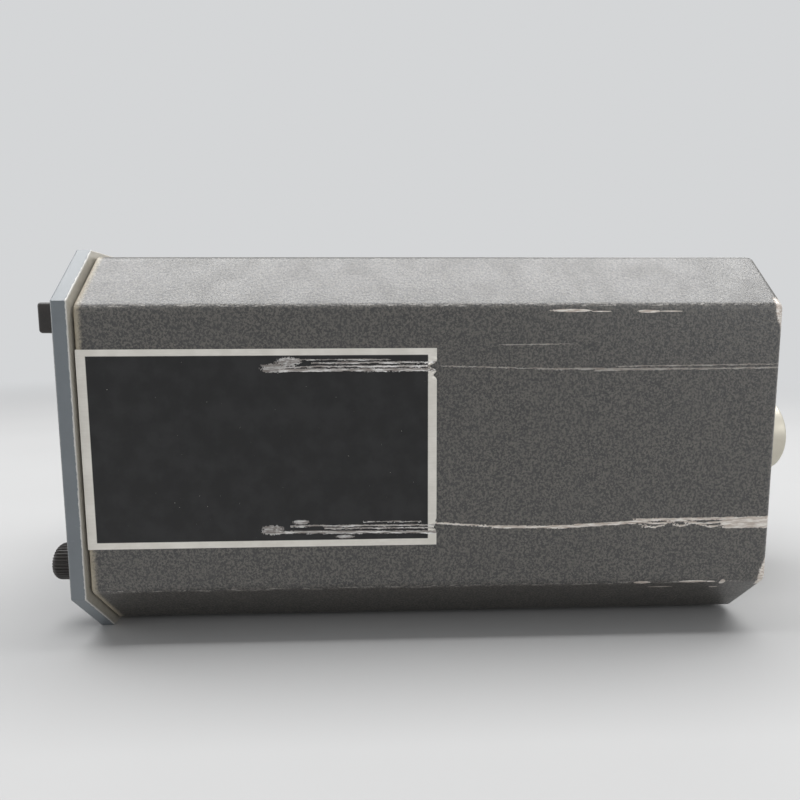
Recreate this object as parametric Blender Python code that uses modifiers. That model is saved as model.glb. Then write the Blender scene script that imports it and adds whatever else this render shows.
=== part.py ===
"""Panel navigation display: a square instrument case behind an octagonal bezel, with its board and controls.

Metres, +Z up. The front faces -Y and the data plate faces +X. The world origin is on the surface that the
bezel's lower edge stands on, midway along the whole length. Every part hangs from the empty instrument_axis,
which lies on the case's centre line at the bezel's front plane, so part positions are counted from there.
"""

import math

import bmesh
import bpy
from mathutils import Matrix

MM = 0.001

# Fits: gaps between faces that rest on each other, and between a turning or sliding piece and its bore.
SEAT_GAP = 0.3 * MM
RUNNING_GAP = 0.15 * MM

# Bezel; it stands proud of the case all round.
BEZEL_OVERHANG = 1.28 * MM
BEZEL_CHAMFER = 11.28 * MM
BEZEL_THICKNESS = 3.18 * MM
BEZEL_EDGE = 0.35 * MM
BEZEL_LIP = 0.9 * MM

# Window, lens and gasket.
WINDOW_WIDTH = 62 * MM
WINDOW_HEIGHT = 30 * MM
LENS_LAND = 1.8 * MM
LENS_THICKNESS = 2 * MM
LENS_GASKET_THICKNESS = 0.8 * MM

# Front frame, the sub-panel behind the bezel.
FRAME_THICKNESS = 7 * MM

# Display board with its numeric modules, in rows across the window.
BOARD_THICKNESS = 1.6 * MM
DISPLAY_BOARD_WIDTH = 68 * MM
DISPLAY_BOARD_HEIGHT = 34 * MM
DIGIT_COLUMNS = 4
DIGIT_ROWS = 2
DIGIT_SPACING = 0.5 * MM
DIGIT_RECESS = 0.5 * MM

# Annunciator lenses above the window.
LAMP_COUNT = 3
LAMP_PITCH = 13 * MM
LAMP_FIRST_X = -26 * MM
LAMP_Z = 25 * MM
LAMP_WIDTH = 8 * MM
LAMP_HEIGHT = 4 * MM
LAMP_PROUD = 0.6 * MM
LAMP_BLOCK_RIM = 2 * MM

# Controls: the button above and the knob below, at the bezel's right-hand corners.
CONTROL_X = 27.5 * MM
CONTROL_Z = 27.4 * MM
CONTROL_GAP = 0.4 * MM
BUSHING_DIAMETER = 6.35 * MM
BUSHING_REACH = 6.6 * MM
NUT_WIDTH = 9 * MM
NUT_THICKNESS = 2 * MM
NUT_ROOM = 0.6 * MM
FRAME_WEB = 3.6 * MM
LUG_SIZE = (0.8 * MM, 4 * MM, 1.6 * MM)
LUG_PITCH = 2.6 * MM
LUG_ROOT = 0.5 * MM

BUTTON_SIZE = 6.5 * MM
BUTTON_REACH = 8.8 * MM
BUTTON_TAIL = 1.9 * MM
BUTTON_TRAVEL = 1.6 * MM
BUTTON_EDGE = 0.5 * MM
STEM_DIAMETER = 3 * MM
STEM_GRIP = 7.5 * MM
STEM_LENGTH = 18 * MM
STEM_BORE_SPARE = 1.2 * MM
SWITCH_SIZE = 9 * MM
SWITCH_LENGTH = 13 * MM

KNOB_DIAMETER = 8.2 * MM
KNOB_REACH = 9.7 * MM
KNOB_FOOT = 0.6 * MM
KNOB_RIDGES = 34
KNOB_RIDGE_DEPTH = 0.3 * MM
KNOB_ROUNDING = 1.4 * MM
KNOB_FRONT_WALL = 2 * MM
SHAFT_DIAMETER = 3.175 * MM
SHAFT_LENGTH = 26 * MM
SHAFT_BORE_SPARE = 0.6 * MM
SET_SCREW_DIAMETER = 1.6 * MM
DIMMER_DIAMETER = 12.7 * MM
DIMMER_LENGTH = 11.5 * MM

# Case: a drawn can with one closed end.
CASE_SIZE = 80.6 * MM
CASE_CHAMFER = 11.1 * MM
CASE_LENGTH = 142.8 * MM
CASE_WALL = 1.2 * MM
CASE_EDGE = 1.5 * MM
CASE_STANDOFF = 0.5 * MM

# Data plate, on the case's +X side.
PLATE_LENGTH = 71.4 * MM
PLATE_HEIGHT = 40.8 * MM
PLATE_THICKNESS = 0.3 * MM
PLATE_SETBACK = 0.1 * MM
PLATE_RAISE = 0.4 * MM
PLATE_CORNER = 0.8 * MM
PLATE_GAP = 0.05 * MM

# Screws: pan heads at the back, flat heads in the bezel.
SCREW_DIAMETER = 2.5 * MM
SCREW_HEAD_DIAMETER = 4.6 * MM
SCREW_HEAD_HEIGHT = 1.6 * MM
SCREW_SLOT = (3.2 * MM, 0.7 * MM, 0.8 * MM)
SCREW_GAP = 0.3 * MM
BEZEL_SCREW_X = 35.5 * MM
BEZEL_SCREW_Z = 21.5 * MM
BEZEL_SCREW_HEAD_DEPTH = 1.4 * MM
BEZEL_SCREW_LENGTH = 9 * MM
CASE_SCREW_OFFSET = 28 * MM

# Chassis.
RAIL_HEIGHT = 38 * MM
RAIL_DEPTH = 8 * MM
RAIL_THICKNESS = 1.5 * MM
REAR_PLATE_THICKNESS = 3 * MM

# Receptacle at the back.
RECEPTACLE_Z = -4.3 * MM
RECEPTACLE_REACH = 24.6 * MM
BARREL_DIAMETER = 20.2 * MM
BARREL_CHAMFER = 0.6 * MM
SOCKET_DIAMETER = 17.8 * MM
NECK_DIAMETER = 18 * MM
NECK_LENGTH = 9.5 * MM
INSERT_BORE = 15.8 * MM
INSERT_SETBACK = 12.6 * MM
INSERT_PROUD = 1.5 * MM
FLANGE_SIZE = 27 * MM
FLANGE_CHAMFER = 2.5 * MM
FLANGE_THICKNESS = 2.2 * MM
FLANGE_SCREW_OFFSET = 10.3 * MM
FLANGE_GASKET_THICKNESS = 0.8 * MM
PIN_DIAMETER = 1 * MM
PIN_LENGTH = 7.5 * MM
PIN_ROOT = 1 * MM
PIN_RINGS = ((0, 1), (2.9 * MM, 6), (5.6 * MM, 12))

# Electronics inside the case. The parts on each main board are spread evenly along it.
MAIN_BOARD_HEIGHT = 52 * MM
MAIN_BOARD_START = 32 * MM
MAIN_BOARD_ROOM = 6 * MM
CHIP_SIZE = (4 * MM, 20 * MM, 7.6 * MM)
CHIP_COUNT = 3
TRANSFORMER_SIZE = (20 * MM, 26 * MM, 26 * MM)
CAPACITOR_DIAMETER = 12 * MM
CAPACITOR_LENGTH = 26 * MM
CAPACITOR_Z = 9 * MM
HEAT_SINK_SIZE = (12 * MM, 22 * MM, 34 * MM)
HEAT_SINK_BASE = 2.5 * MM
HEAT_SINK_FIN = 1.6 * MM
HEAT_SINK_FINS = 6
WIRE_DIAMETER = 4.4 * MM
WIRE_SAMPLES = 4
RIBBON_WIDTH = 22 * MM
RIBBON_THICKNESS = 0.8 * MM
RIBBON_START_X = 12 * MM
RIBBON_BEND_Y = 26 * MM
RIBBON_LAP = 3 * MM

# Sizes and places worked out from the values above, counted back from the bezel's front plane.
BEZEL_SIZE = CASE_SIZE + 2 * BEZEL_OVERHANG
LENS_FRONT = BEZEL_LIP + SEAT_GAP
LENS_BACK = LENS_FRONT + LENS_THICKNESS
LENS_GASKET_FRONT = LENS_BACK + SEAT_GAP
LENS_GASKET_BACK = LENS_GASKET_FRONT + LENS_GASKET_THICKNESS
FRAME_FRONT = BEZEL_THICKNESS + SEAT_GAP
FRAME_BACK = FRAME_FRONT + FRAME_THICKNESS
BEHIND_FRAME = FRAME_BACK + SEAT_GAP
NUT_SEAT = FRAME_BACK - FRAME_WEB
CASE_FRONT = BEZEL_THICKNESS + CASE_STANDOFF
CASE_BACK = CASE_FRONT + CASE_LENGTH
REAR_PLATE_BACK = CASE_BACK - CASE_WALL - SEAT_GAP
REAR_PLATE_FRONT = REAR_PLATE_BACK - REAR_PLATE_THICKNESS
MAIN_BOARD_END = REAR_PLATE_FRONT - MAIN_BOARD_ROOM
FLANGE_GASKET_FRONT = CASE_BACK + SEAT_GAP
FLANGE_FRONT = FLANGE_GASKET_FRONT + FLANGE_GASKET_THICKNESS + SEAT_GAP
FLANGE_BACK = FLANGE_FRONT + FLANGE_THICKNESS
RECEPTACLE_MOUTH = CASE_BACK + RECEPTACLE_REACH
INSERT_FACE = RECEPTACLE_MOUTH - INSERT_SETBACK
INSERT_BACK = FLANGE_FRONT - NECK_LENGTH - INSERT_PROUD
BOARD_FACE_X = CASE_SIZE / 2 - CASE_WALL - SEAT_GAP - RAIL_DEPTH - SEAT_GAP - BOARD_THICKNESS
PART_FACE_X = BOARD_FACE_X - SEAT_GAP
FRONT_REACH = max(BUTTON_REACH, KNOB_REACH)
MIDDLE_Y = (RECEPTACLE_MOUTH - FRONT_REACH) / 2

ROUND_STEPS = 24
SMALL_STEPS = 12
PAST = 2 * MM


def clear_scene():
    for obj in list(bpy.data.objects):
        bpy.data.objects.remove(obj, do_unlink=True)


def new_collection(name):
    collection = bpy.data.collections.new(name)
    bpy.context.scene.collection.children.link(collection)
    return collection


def material(name, colour, roughness, metallic=0.0, alpha=1.0):
    made = bpy.data.materials.new(name)
    made.use_nodes = True
    surface = made.node_tree.nodes["Principled BSDF"]
    surface.inputs["Base Color"].default_value = (*colour, 1)
    surface.inputs["Roughness"].default_value = roughness
    surface.inputs["Metallic"].default_value = metallic
    surface.inputs["Alpha"].default_value = alpha
    return made


def new_empty(name, at, parent=None):
    empty = bpy.data.objects.new(name, None)
    empty.empty_display_size = 5 * MM
    empty.location = at
    empty.parent = parent
    PARTS.objects.link(empty)
    return empty


def place(name, mesh, finish, at=(0, 0, 0), parent=None):
    """A new object in the parts collection, at a position counted from its parent."""
    obj = bpy.data.objects.new(name, mesh)
    obj.location = at
    obj.parent = parent or AXIS
    PARTS.objects.link(obj)
    if finish and not mesh.materials:
        mesh.materials.append(finish)
    return obj


def boolean(target, tool, operation="DIFFERENCE"):
    """Cut target with tool, or join tool to it; the tool moves to the cutters collection."""
    modifier = target.modifiers.new(tool.name, "BOOLEAN")
    modifier.operation = operation
    modifier.solver = "EXACT"
    modifier.object = tool
    PARTS.objects.unlink(tool)
    CUTTERS.objects.link(tool)
    tool.hide_render = True
    tool.display_type = "WIRE"


def baked_mesh(obj):
    """The object's mesh with its modifiers applied; the object itself is removed."""
    bpy.context.view_layer.update()
    graph = bpy.context.evaluated_depsgraph_get()
    mesh = bpy.data.meshes.new_from_object(obj.evaluated_get(graph))
    mesh.name = obj.name
    bpy.data.objects.remove(obj)
    return mesh


def smooth(mesh, angle=40):
    mesh.shade_smooth()
    mesh.set_sharp_from_angle(angle=math.radians(angle))


# Outlines: lists of (u, v) points, anticlockwise.
def rectangle(width, height, centre=(0, 0)):
    u, v = centre
    return [
        (u - width / 2, v - height / 2),
        (u + width / 2, v - height / 2),
        (u + width / 2, v + height / 2),
        (u - width / 2, v + height / 2),
    ]


def chamfered_square(size, chamfer):
    half = size / 2
    flat = half - chamfer
    return [
        (flat, -half),
        (half, -flat),
        (half, flat),
        (flat, half),
        (-flat, half),
        (-half, flat),
        (-half, -flat),
        (-flat, -half),
    ]


def inner_chamfer(chamfer, wall):
    """The chamfer of an octagon that lies one wall inside another on every side."""
    return chamfer - wall * (2 - math.sqrt(2))


def circle(radius, centre=(0, 0), steps=ROUND_STEPS, start=0.0):
    u, v = centre
    turns = [start + 2 * math.pi * step / steps for step in range(steps)]
    return [(u + radius * math.cos(turn), v + radius * math.sin(turn)) for turn in turns]


def rounded_rectangle(width, height, radius, steps=4):
    points = []
    corners = ((1, -1), (1, 1), (-1, 1), (-1, -1))
    for quarter, (side, level) in enumerate(corners):
        u = side * (width / 2 - radius)
        v = level * (height / 2 - radius)
        for step in range(steps + 1):
            turn = math.pi / 2 * (quarter - 1 + step / steps)
            points.append((u + radius * math.cos(turn), v + radius * math.sin(turn)))
    return points


def knurled_circle(radius, depth, ridges):
    """A tooth for every ridge: two points on the crest circle and two on the root circle."""
    points = []
    for ridge in range(ridges):
        for share, level in ((0.0, radius), (0.3, radius), (0.5, radius - depth), (0.8, radius - depth)):
            turn = 2 * math.pi * (ridge + share) / ridges
            points.append((level * math.cos(turn), level * math.sin(turn)))
    return points


# Meshes.
FACINGS = {
    "X": Matrix(((0, 0, 1), (1, 0, 0), (0, 1, 0))),
    "Y": Matrix(((1, 0, 0), (0, 0, -1), (0, 1, 0))),
    "Z": Matrix.Identity(3),
}


def flat_mesh(name, outlines, thickness, facing="Y"):
    """A plate from an outer outline and any hole outlines, with its middle plane through the origin."""
    curve = bpy.data.curves.new(name, "CURVE")
    curve.dimensions = "2D"
    curve.fill_mode = "BOTH"
    curve.extrude = thickness / 2
    for points in outlines:
        spline = curve.splines.new("POLY")
        spline.points.add(len(points) - 1)
        for point, (u, v) in zip(spline.points, points):
            point.co = (u, v, 0, 1)
        spline.use_cyclic_u = True
    outline = bpy.data.objects.new(name, curve)
    PARTS.objects.link(outline)
    mesh = baked_mesh(outline)
    bpy.data.curves.remove(curve)
    mesh.transform(FACINGS[facing].to_4x4())
    weld(mesh)
    return mesh


def weld(mesh):
    shape = bmesh.new()
    shape.from_mesh(mesh)
    bmesh.ops.remove_doubles(shape, verts=shape.verts, dist=0.001 * MM)
    bmesh.ops.recalc_face_normals(shape, faces=shape.faces)
    shape.to_mesh(mesh)
    shape.free()


def block_mesh(name, size):
    shape = bmesh.new()
    bmesh.ops.create_cube(shape, size=1, matrix=Matrix.Diagonal((*size, 1)))
    mesh = bpy.data.meshes.new(name)
    shape.to_mesh(mesh)
    shape.free()
    return mesh


def rod_mesh(name, diameter, length, steps=ROUND_STEPS, along="Y"):
    turn = {"X": Matrix.Rotation(math.pi / 2, 4, "Y"), "Y": Matrix.Rotation(math.pi / 2, 4, "X")}[along]
    shape = bmesh.new()
    bmesh.ops.create_cone(
        shape,
        cap_ends=True,
        segments=steps,
        radius1=diameter / 2,
        radius2=diameter / 2,
        depth=length,
        matrix=turn,
    )
    mesh = bpy.data.meshes.new(name)
    shape.to_mesh(mesh)
    shape.free()
    smooth(mesh)
    return mesh


def turned(name, profile, finish, at=(0, 0, 0), parent=None, steps=ROUND_STEPS, closed=False):
    """A part turned about Y. The profile is (radius, y) points from its front end to its back end."""
    shape = bmesh.new()
    points = [shape.verts.new((radius, y, 0)) for radius, y in reversed(profile)]
    for first, second in zip(points, points[1:]):
        shape.edges.new((first, second))
    if closed:
        shape.edges.new((points[-1], points[0]))
    mesh = bpy.data.meshes.new(name)
    shape.to_mesh(mesh)
    shape.free()
    part = place(name, mesh, finish, at, parent)
    screw = part.modifiers.new("turn", "SCREW")
    screw.axis = "Y"
    screw.steps = steps
    screw.render_steps = steps
    screw.use_merge_vertices = True
    screw.merge_threshold = 0.001 * MM
    screw.use_smooth_shade = False
    return part


def flat_part(name, outlines, y_front, y_back, finish, at=(0, 0), parent=None):
    """A plate square to the case's length, between two distances behind the bezel's front plane."""
    mesh = flat_mesh(name, outlines, y_back - y_front)
    return place(name, mesh, finish, (at[0], (y_front + y_back) / 2, at[1]), parent)


def block(name, low, high, finish=None, parent=None):
    """A box between two opposite corners."""
    size = [far - near for near, far in zip(low, high)]
    middle = [(far + near) / 2 for near, far in zip(low, high)]
    return place(name, block_mesh(name, size), finish, middle, parent)


def hole_cutter(name, diameter, y_front, y_back, at, steps=ROUND_STEPS):
    mesh = rod_mesh(name, diameter, y_back - y_front, steps)
    return place(name, mesh, None, (at[0], (y_front + y_back) / 2, at[1]))


def bevel_edges(mesh, width, segments, chosen):
    """Round the mesh's edges for which chosen(edge) holds."""
    shape = bmesh.new()
    shape.from_mesh(mesh)
    bmesh.ops.dissolve_limit(shape, angle_limit=0.01, verts=shape.verts, edges=shape.edges)
    edges = [edge for edge in shape.edges if chosen(edge)]
    bmesh.ops.bevel(shape, geom=edges, offset=width, segments=segments, profile=0.5, affect="EDGES")
    shape.to_mesh(mesh)
    shape.free()


def four_corners(x, z):
    return [(side * x, level * z) for level in (1, -1) for side in (-1, 1)]


CONTROLS = {"button": (CONTROL_X, CONTROL_Z), "dimmer": (CONTROL_X, -CONTROL_Z)}
SCREW_HOLE = SCREW_DIAMETER + 2 * SCREW_GAP
RECEPTACLE_AT = (0, RECEPTACLE_Z)
FLANGE_SCREWS = [(x, RECEPTACLE_Z + z) for x, z in four_corners(FLANGE_SCREW_OFFSET, FLANGE_SCREW_OFFSET)]
CASE_SCREWS = four_corners(CASE_SCREW_OFFSET, CASE_SCREW_OFFSET)
BEZEL_SCREWS = four_corners(BEZEL_SCREW_X, BEZEL_SCREW_Z)
LAMPS = [LAMP_FIRST_X + LAMP_PITCH * lamp for lamp in range(LAMP_COUNT)]
LAMP_ROW_X = (LAMPS[0] + LAMPS[-1]) / 2
LAMP_BLOCK_WIDTH = LAMPS[-1] - LAMPS[0] + LAMP_WIDTH + 2 * LAMP_BLOCK_RIM
LAMP_BLOCK_HEIGHT = LAMP_HEIGHT + 2 * LAMP_BLOCK_RIM


# Front.
def make_bezel():
    outline = chamfered_square(BEZEL_SIZE, BEZEL_CHAMFER)
    mesh = flat_mesh("bezel", [outline], BEZEL_THICKNESS)
    bevel_edges(mesh, BEZEL_EDGE, 2, lambda edge: edge.calc_length() > BEZEL_THICKNESS * 1.5)
    bezel = place("bezel", mesh, BEZEL_PAINT, (0, BEZEL_THICKNESS / 2, 0))
    lens_width = WINDOW_WIDTH + 2 * LENS_LAND
    lens_height = WINDOW_HEIGHT + 2 * LENS_LAND
    behind = BEZEL_THICKNESS + PAST
    openings = [
        ("window_cut", rectangle(WINDOW_WIDTH, WINDOW_HEIGHT), -PAST, (0, 0)),
        ("lens_cut", rectangle(lens_width + 2 * SEAT_GAP, lens_height + 2 * SEAT_GAP), BEZEL_LIP, (0, 0)),
        ("shaft_cut", circle(SHAFT_DIAMETER / 2 + CONTROL_GAP), -PAST, CONTROLS["dimmer"]),
        ("button_cut", rectangle(*[BUTTON_SIZE + 2 * CONTROL_GAP] * 2), -PAST, CONTROLS["button"]),
    ]
    for index, x in enumerate(LAMPS):
        lamp = rectangle(LAMP_WIDTH + 2 * SEAT_GAP, LAMP_HEIGHT + 2 * SEAT_GAP)
        openings.append((f"lamp_cut_{index + 1}", lamp, -PAST, (x, LAMP_Z)))
    for name, shape, front, at in openings:
        boolean(bezel, flat_part(name, [shape], front, behind, None, at))
    for index, at in enumerate(BEZEL_SCREWS):
        wide = SCREW_HEAD_DIAMETER / 2 + SCREW_GAP
        depth = BEZEL_SCREW_HEAD_DEPTH + SCREW_GAP
        sink = [(0, -PAST), (wide, -PAST), (wide, 0), (SCREW_HOLE / 2, depth), (SCREW_HOLE / 2, behind), (0, behind)]
        boolean(bezel, turned(f"countersink_{index + 1}", sink, None, (at[0], 0, at[1])))


def make_lens_and_gasket():
    width = WINDOW_WIDTH + 2 * LENS_LAND
    height = WINDOW_HEIGHT + 2 * LENS_LAND
    flat_part("display_lens", [rectangle(width, height)], LENS_FRONT, LENS_BACK, LENS_PLASTIC)
    ring = [rectangle(width, height), rectangle(WINDOW_WIDTH, WINDOW_HEIGHT)]
    flat_part("lens_gasket", ring, LENS_GASKET_FRONT, LENS_GASKET_BACK, BLACK_RUBBER)


def make_front_frame():
    wall = CASE_WALL + SEAT_GAP
    outlines = [
        chamfered_square(CASE_SIZE - 2 * wall, inner_chamfer(CASE_CHAMFER, wall)),
        rectangle(WINDOW_WIDTH, WINDOW_HEIGHT),
        rectangle(LAMP_BLOCK_WIDTH + 2 * SEAT_GAP, LAMP_BLOCK_HEIGHT + 2 * SEAT_GAP, (LAMP_ROW_X, LAMP_Z)),
    ]
    outlines += [circle(SCREW_HOLE / 2, at, SMALL_STEPS) for at in BEZEL_SCREWS]
    outlines += [circle(BUSHING_DIAMETER / 2 + SEAT_GAP, at) for at in CONTROLS.values()]
    frame = flat_part("front_frame", outlines, FRAME_FRONT, FRAME_BACK, BARE_ALUMINIUM)
    recess = rectangle(WINDOW_WIDTH + 2 * LENS_LAND + 2 * SEAT_GAP, WINDOW_HEIGHT + 2 * LENS_LAND + 2 * SEAT_GAP)
    boolean(frame, flat_part("gasket_recess", [recess], -PAST, LENS_GASKET_BACK + SEAT_GAP, None))
    nut_circle = NUT_WIDTH / math.cos(math.pi / 6) + 2 * NUT_ROOM
    for name, at in CONTROLS.items():
        boolean(frame, hole_cutter(f"{name}_nut_recess", nut_circle, -PAST, NUT_SEAT, at))


def make_display():
    width = DISPLAY_BOARD_WIDTH / 2
    height = DISPLAY_BOARD_HEIGHT / 2
    board_back = BEHIND_FRAME + BOARD_THICKNESS
    block("display_board", (-width, BEHIND_FRAME, -height), (width, board_back, height), BOARD_GREEN)
    pitch_x = WINDOW_WIDTH / DIGIT_COLUMNS
    pitch_z = WINDOW_HEIGHT / DIGIT_ROWS
    front = LENS_BACK + DIGIT_RECESS
    back = BEHIND_FRAME - SEAT_GAP
    outline = rectangle(pitch_x - 2 * DIGIT_SPACING, pitch_z - 2 * DIGIT_SPACING)
    mesh = flat_mesh("digit", [outline], back - front)
    rows = ("upper", "lower")
    for row in range(DIGIT_ROWS):
        for column in range(DIGIT_COLUMNS):
            x = pitch_x * (column + 0.5) - WINDOW_WIDTH / 2
            z = WINDOW_HEIGHT / 2 - pitch_z * (row + 0.5)
            place(f"digit_{rows[row]}_{column + 1}", mesh, DIGIT_BLACK, (x, (front + back) / 2, z))


def make_annunciators():
    for index, x in enumerate(LAMPS):
        name = f"annunciator_lens_{index + 1}"
        back = FRAME_FRONT - SEAT_GAP
        flat_part(name, [rectangle(LAMP_WIDTH, LAMP_HEIGHT)], -LAMP_PROUD, back, LAMP_PLASTIC, (x, LAMP_Z))
    outline = [rectangle(LAMP_BLOCK_WIDTH, LAMP_BLOCK_HEIGHT)]
    flat_part("annunciator_block", outline, FRAME_FRONT, FRAME_BACK, BLACK_PLASTIC, (LAMP_ROW_X, LAMP_Z))


# Controls.
def panel_control(name, case_mesh, length, bore_diameter, bore_end, finish, at):
    """A body behind the front frame, with a bushing through the frame, a blind bore and three lugs."""
    body = place(name, case_mesh, finish, (at[0], BEHIND_FRAME + length / 2, at[1]))
    bushing_back = BEHIND_FRAME + length / 2
    bushing_front = BEHIND_FRAME - BUSHING_REACH
    boolean(body, hole_cutter(f"{name}_bushing", BUSHING_DIAMETER, bushing_front, bushing_back, at), "UNION")
    wide, long, high = LUG_SIZE
    back = BEHIND_FRAME + length
    for index in range(3):
        x = at[0] + LUG_PITCH * (index - 1)
        low = (x - wide / 2, back - LUG_ROOT, at[1] - high / 2)
        lug = block(f"{name}_lug_{index + 1}", low, (x + wide / 2, back + long, at[1] + high / 2))
        boolean(body, lug, "UNION")
    boolean(body, hole_cutter(f"{name}_bore", bore_diameter, bushing_front - PAST, bore_end, at))
    hexagon = circle(NUT_WIDTH / 2 / math.cos(math.pi / 6), steps=6)
    hole = circle(BUSHING_DIAMETER / 2 + SEAT_GAP)
    nut_back = NUT_SEAT - SEAT_GAP
    flat_part(f"{name}_nut", [hexagon, hole], nut_back - NUT_THICKNESS, nut_back, NICKEL, at)


def make_button():
    at = CONTROLS["button"]
    axis = new_empty("button_axis", (at[0], 0, at[1]), AXIS)
    half = BUTTON_SIZE / 2
    cap = block("button_cap", (-half, -BUTTON_REACH, -half), (half, BUTTON_TAIL, half), BLACK_PLASTIC, axis)
    bevel_edges(cap.data, BUTTON_EDGE, 2, lambda edge: True)
    stem_front = BUTTON_TAIL - STEM_GRIP
    bore = STEM_DIAMETER + 2 * SEAT_GAP
    boolean(cap, hole_cutter("cap_bore", bore, stem_front - SEAT_GAP, BUTTON_TAIL + PAST, at))
    stem = rod_mesh("button_stem", STEM_DIAMETER, STEM_LENGTH)
    place("button_stem", stem, NICKEL, (0, stem_front + STEM_LENGTH / 2, 0), axis)
    body = block_mesh("button_switch", (SWITCH_SIZE, SWITCH_LENGTH, SWITCH_SIZE))
    bore_end = stem_front + STEM_LENGTH + BUTTON_TRAVEL + STEM_BORE_SPARE
    bore = STEM_DIAMETER + 2 * RUNNING_GAP
    panel_control("button_switch", body, SWITCH_LENGTH, bore, bore_end, BLACK_PLASTIC, at)


def make_knob():
    at = CONTROLS["dimmer"]
    axis = new_empty("dimmer_axis", (at[0], 0, at[1]), AXIS)
    radius = KNOB_DIAMETER / 2
    ridges = knurled_circle(radius, KNOB_RIDGE_DEPTH, KNOB_RIDGES)
    knob = flat_part("dimmer_knob", [ridges], -KNOB_REACH, -KNOB_FOOT, BLACK_PLASTIC, (0, 0), axis)
    rounded = []
    for step in range(5):
        turn = math.pi / 2 * step / 4
        out = radius - KNOB_ROUNDING + KNOB_ROUNDING * math.sin(turn)
        rounded.append((out, -KNOB_REACH + KNOB_ROUNDING * (1 - math.cos(turn))))
    envelope = [(0, -KNOB_REACH), *rounded, (radius, PAST), (0, PAST)]
    boolean(knob, turned("knob_envelope", envelope, None, (at[0], 0, at[1]), steps=48), "INTERSECT")
    shaft_front = KNOB_FRONT_WALL - KNOB_REACH
    bore = SHAFT_DIAMETER + 2 * SEAT_GAP
    boolean(knob, hole_cutter("knob_bore", bore, shaft_front - SEAT_GAP, PAST, at))
    grip_y = -(KNOB_FOOT + KNOB_REACH - KNOB_FRONT_WALL) / 2
    tap = rod_mesh("set_screw_tap", SET_SCREW_DIAMETER + 2 * RUNNING_GAP, KNOB_DIAMETER, SMALL_STEPS, "X")
    boolean(knob, place("set_screw_tap", tap, None, (at[0] + KNOB_DIAMETER / 2, grip_y, at[1])))
    inner = SHAFT_DIAMETER / 2 + SEAT_GAP
    outer = radius - KNOB_RIDGE_DEPTH - SEAT_GAP
    screw = rod_mesh("knob_set_screw", SET_SCREW_DIAMETER, outer - inner, SMALL_STEPS, "X")
    place("knob_set_screw", screw, NICKEL, ((inner + outer) / 2, grip_y, 0), axis)
    shaft = rod_mesh("dimmer_shaft", SHAFT_DIAMETER, SHAFT_LENGTH)
    place("dimmer_shaft", shaft, NICKEL, (0, shaft_front + SHAFT_LENGTH / 2, 0), axis)
    body = rod_mesh("dimmer_control", DIMMER_DIAMETER, DIMMER_LENGTH)
    bore_end = shaft_front + SHAFT_LENGTH + SHAFT_BORE_SPARE
    bore = SHAFT_DIAMETER + 2 * RUNNING_GAP
    panel_control("dimmer_control", body, DIMMER_LENGTH, bore, bore_end, BLACK_PLASTIC, at)


# Case and chassis.
def make_case():
    outline = chamfered_square(CASE_SIZE, CASE_CHAMFER)
    mesh = flat_mesh("case_shell", [outline], CASE_LENGTH)
    front = -CASE_LENGTH / 2 + CASE_WALL
    bevel_edges(mesh, CASE_EDGE, 3, lambda edge: max(vert.co.y for vert in edge.verts) > front)
    smooth(mesh)
    case = place("case_shell", mesh, CASE_PAINT, (0, (CASE_FRONT + CASE_BACK) / 2, 0))
    inside = chamfered_square(CASE_SIZE - 2 * CASE_WALL, inner_chamfer(CASE_CHAMFER, CASE_WALL))
    boolean(case, flat_part("case_cavity", [inside], CASE_FRONT - PAST, CASE_BACK - CASE_WALL, None))
    holes = [("neck", NECK_DIAMETER + 2 * SEAT_GAP, RECEPTACLE_AT, ROUND_STEPS)]
    for index, at in enumerate(FLANGE_SCREWS + CASE_SCREWS):
        holes.append((f"case_screw_{index + 1}", SCREW_HOLE, at, SMALL_STEPS))
    for name, diameter, at, steps in holes:
        cutter = hole_cutter(f"{name}_hole", diameter, CASE_BACK - CASE_WALL - PAST, CASE_BACK + PAST, at, steps)
        boolean(case, cutter)


def make_data_plate():
    outline = rounded_rectangle(PLATE_LENGTH, PLATE_HEIGHT, PLATE_CORNER)
    mesh = flat_mesh("data_plate", [outline], PLATE_THICKNESS, "X")
    x = CASE_SIZE / 2 + PLATE_GAP + PLATE_THICKNESS / 2
    y = CASE_FRONT + PLATE_SETBACK + PLATE_LENGTH / 2
    place("data_plate", mesh, BARE_ALUMINIUM, (x, y, PLATE_RAISE))


def make_chassis():
    front = BEHIND_FRAME
    back = REAR_PLATE_FRONT - SEAT_GAP
    outer = CASE_SIZE / 2 - CASE_WALL - SEAT_GAP
    top = RAIL_HEIGHT / 2
    for name, side in (("side_rail_left", -1), ("side_rail_right", 1)):
        channel = [
            (outer, -top),
            (outer, top),
            (outer - RAIL_DEPTH, top),
            (outer - RAIL_DEPTH, top - RAIL_THICKNESS),
            (outer - RAIL_THICKNESS, top - RAIL_THICKNESS),
            (outer - RAIL_THICKNESS, RAIL_THICKNESS - top),
            (outer - RAIL_DEPTH, RAIL_THICKNESS - top),
            (outer - RAIL_DEPTH, -top),
        ]
        flat_part(name, [[(side * x, z) for x, z in channel]], front, back, BARE_ALUMINIUM)
    wall = CASE_WALL + SEAT_GAP
    outlines = [
        chamfered_square(CASE_SIZE - 2 * wall, inner_chamfer(CASE_CHAMFER, wall)),
        circle(NECK_DIAMETER / 2 + SEAT_GAP, RECEPTACLE_AT),
    ]
    outlines += [circle(SCREW_HOLE / 2, at, SMALL_STEPS) for at in FLANGE_SCREWS + CASE_SCREWS]
    flat_part("rear_plate", outlines, REAR_PLATE_FRONT, REAR_PLATE_BACK, BARE_ALUMINIUM)


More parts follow.
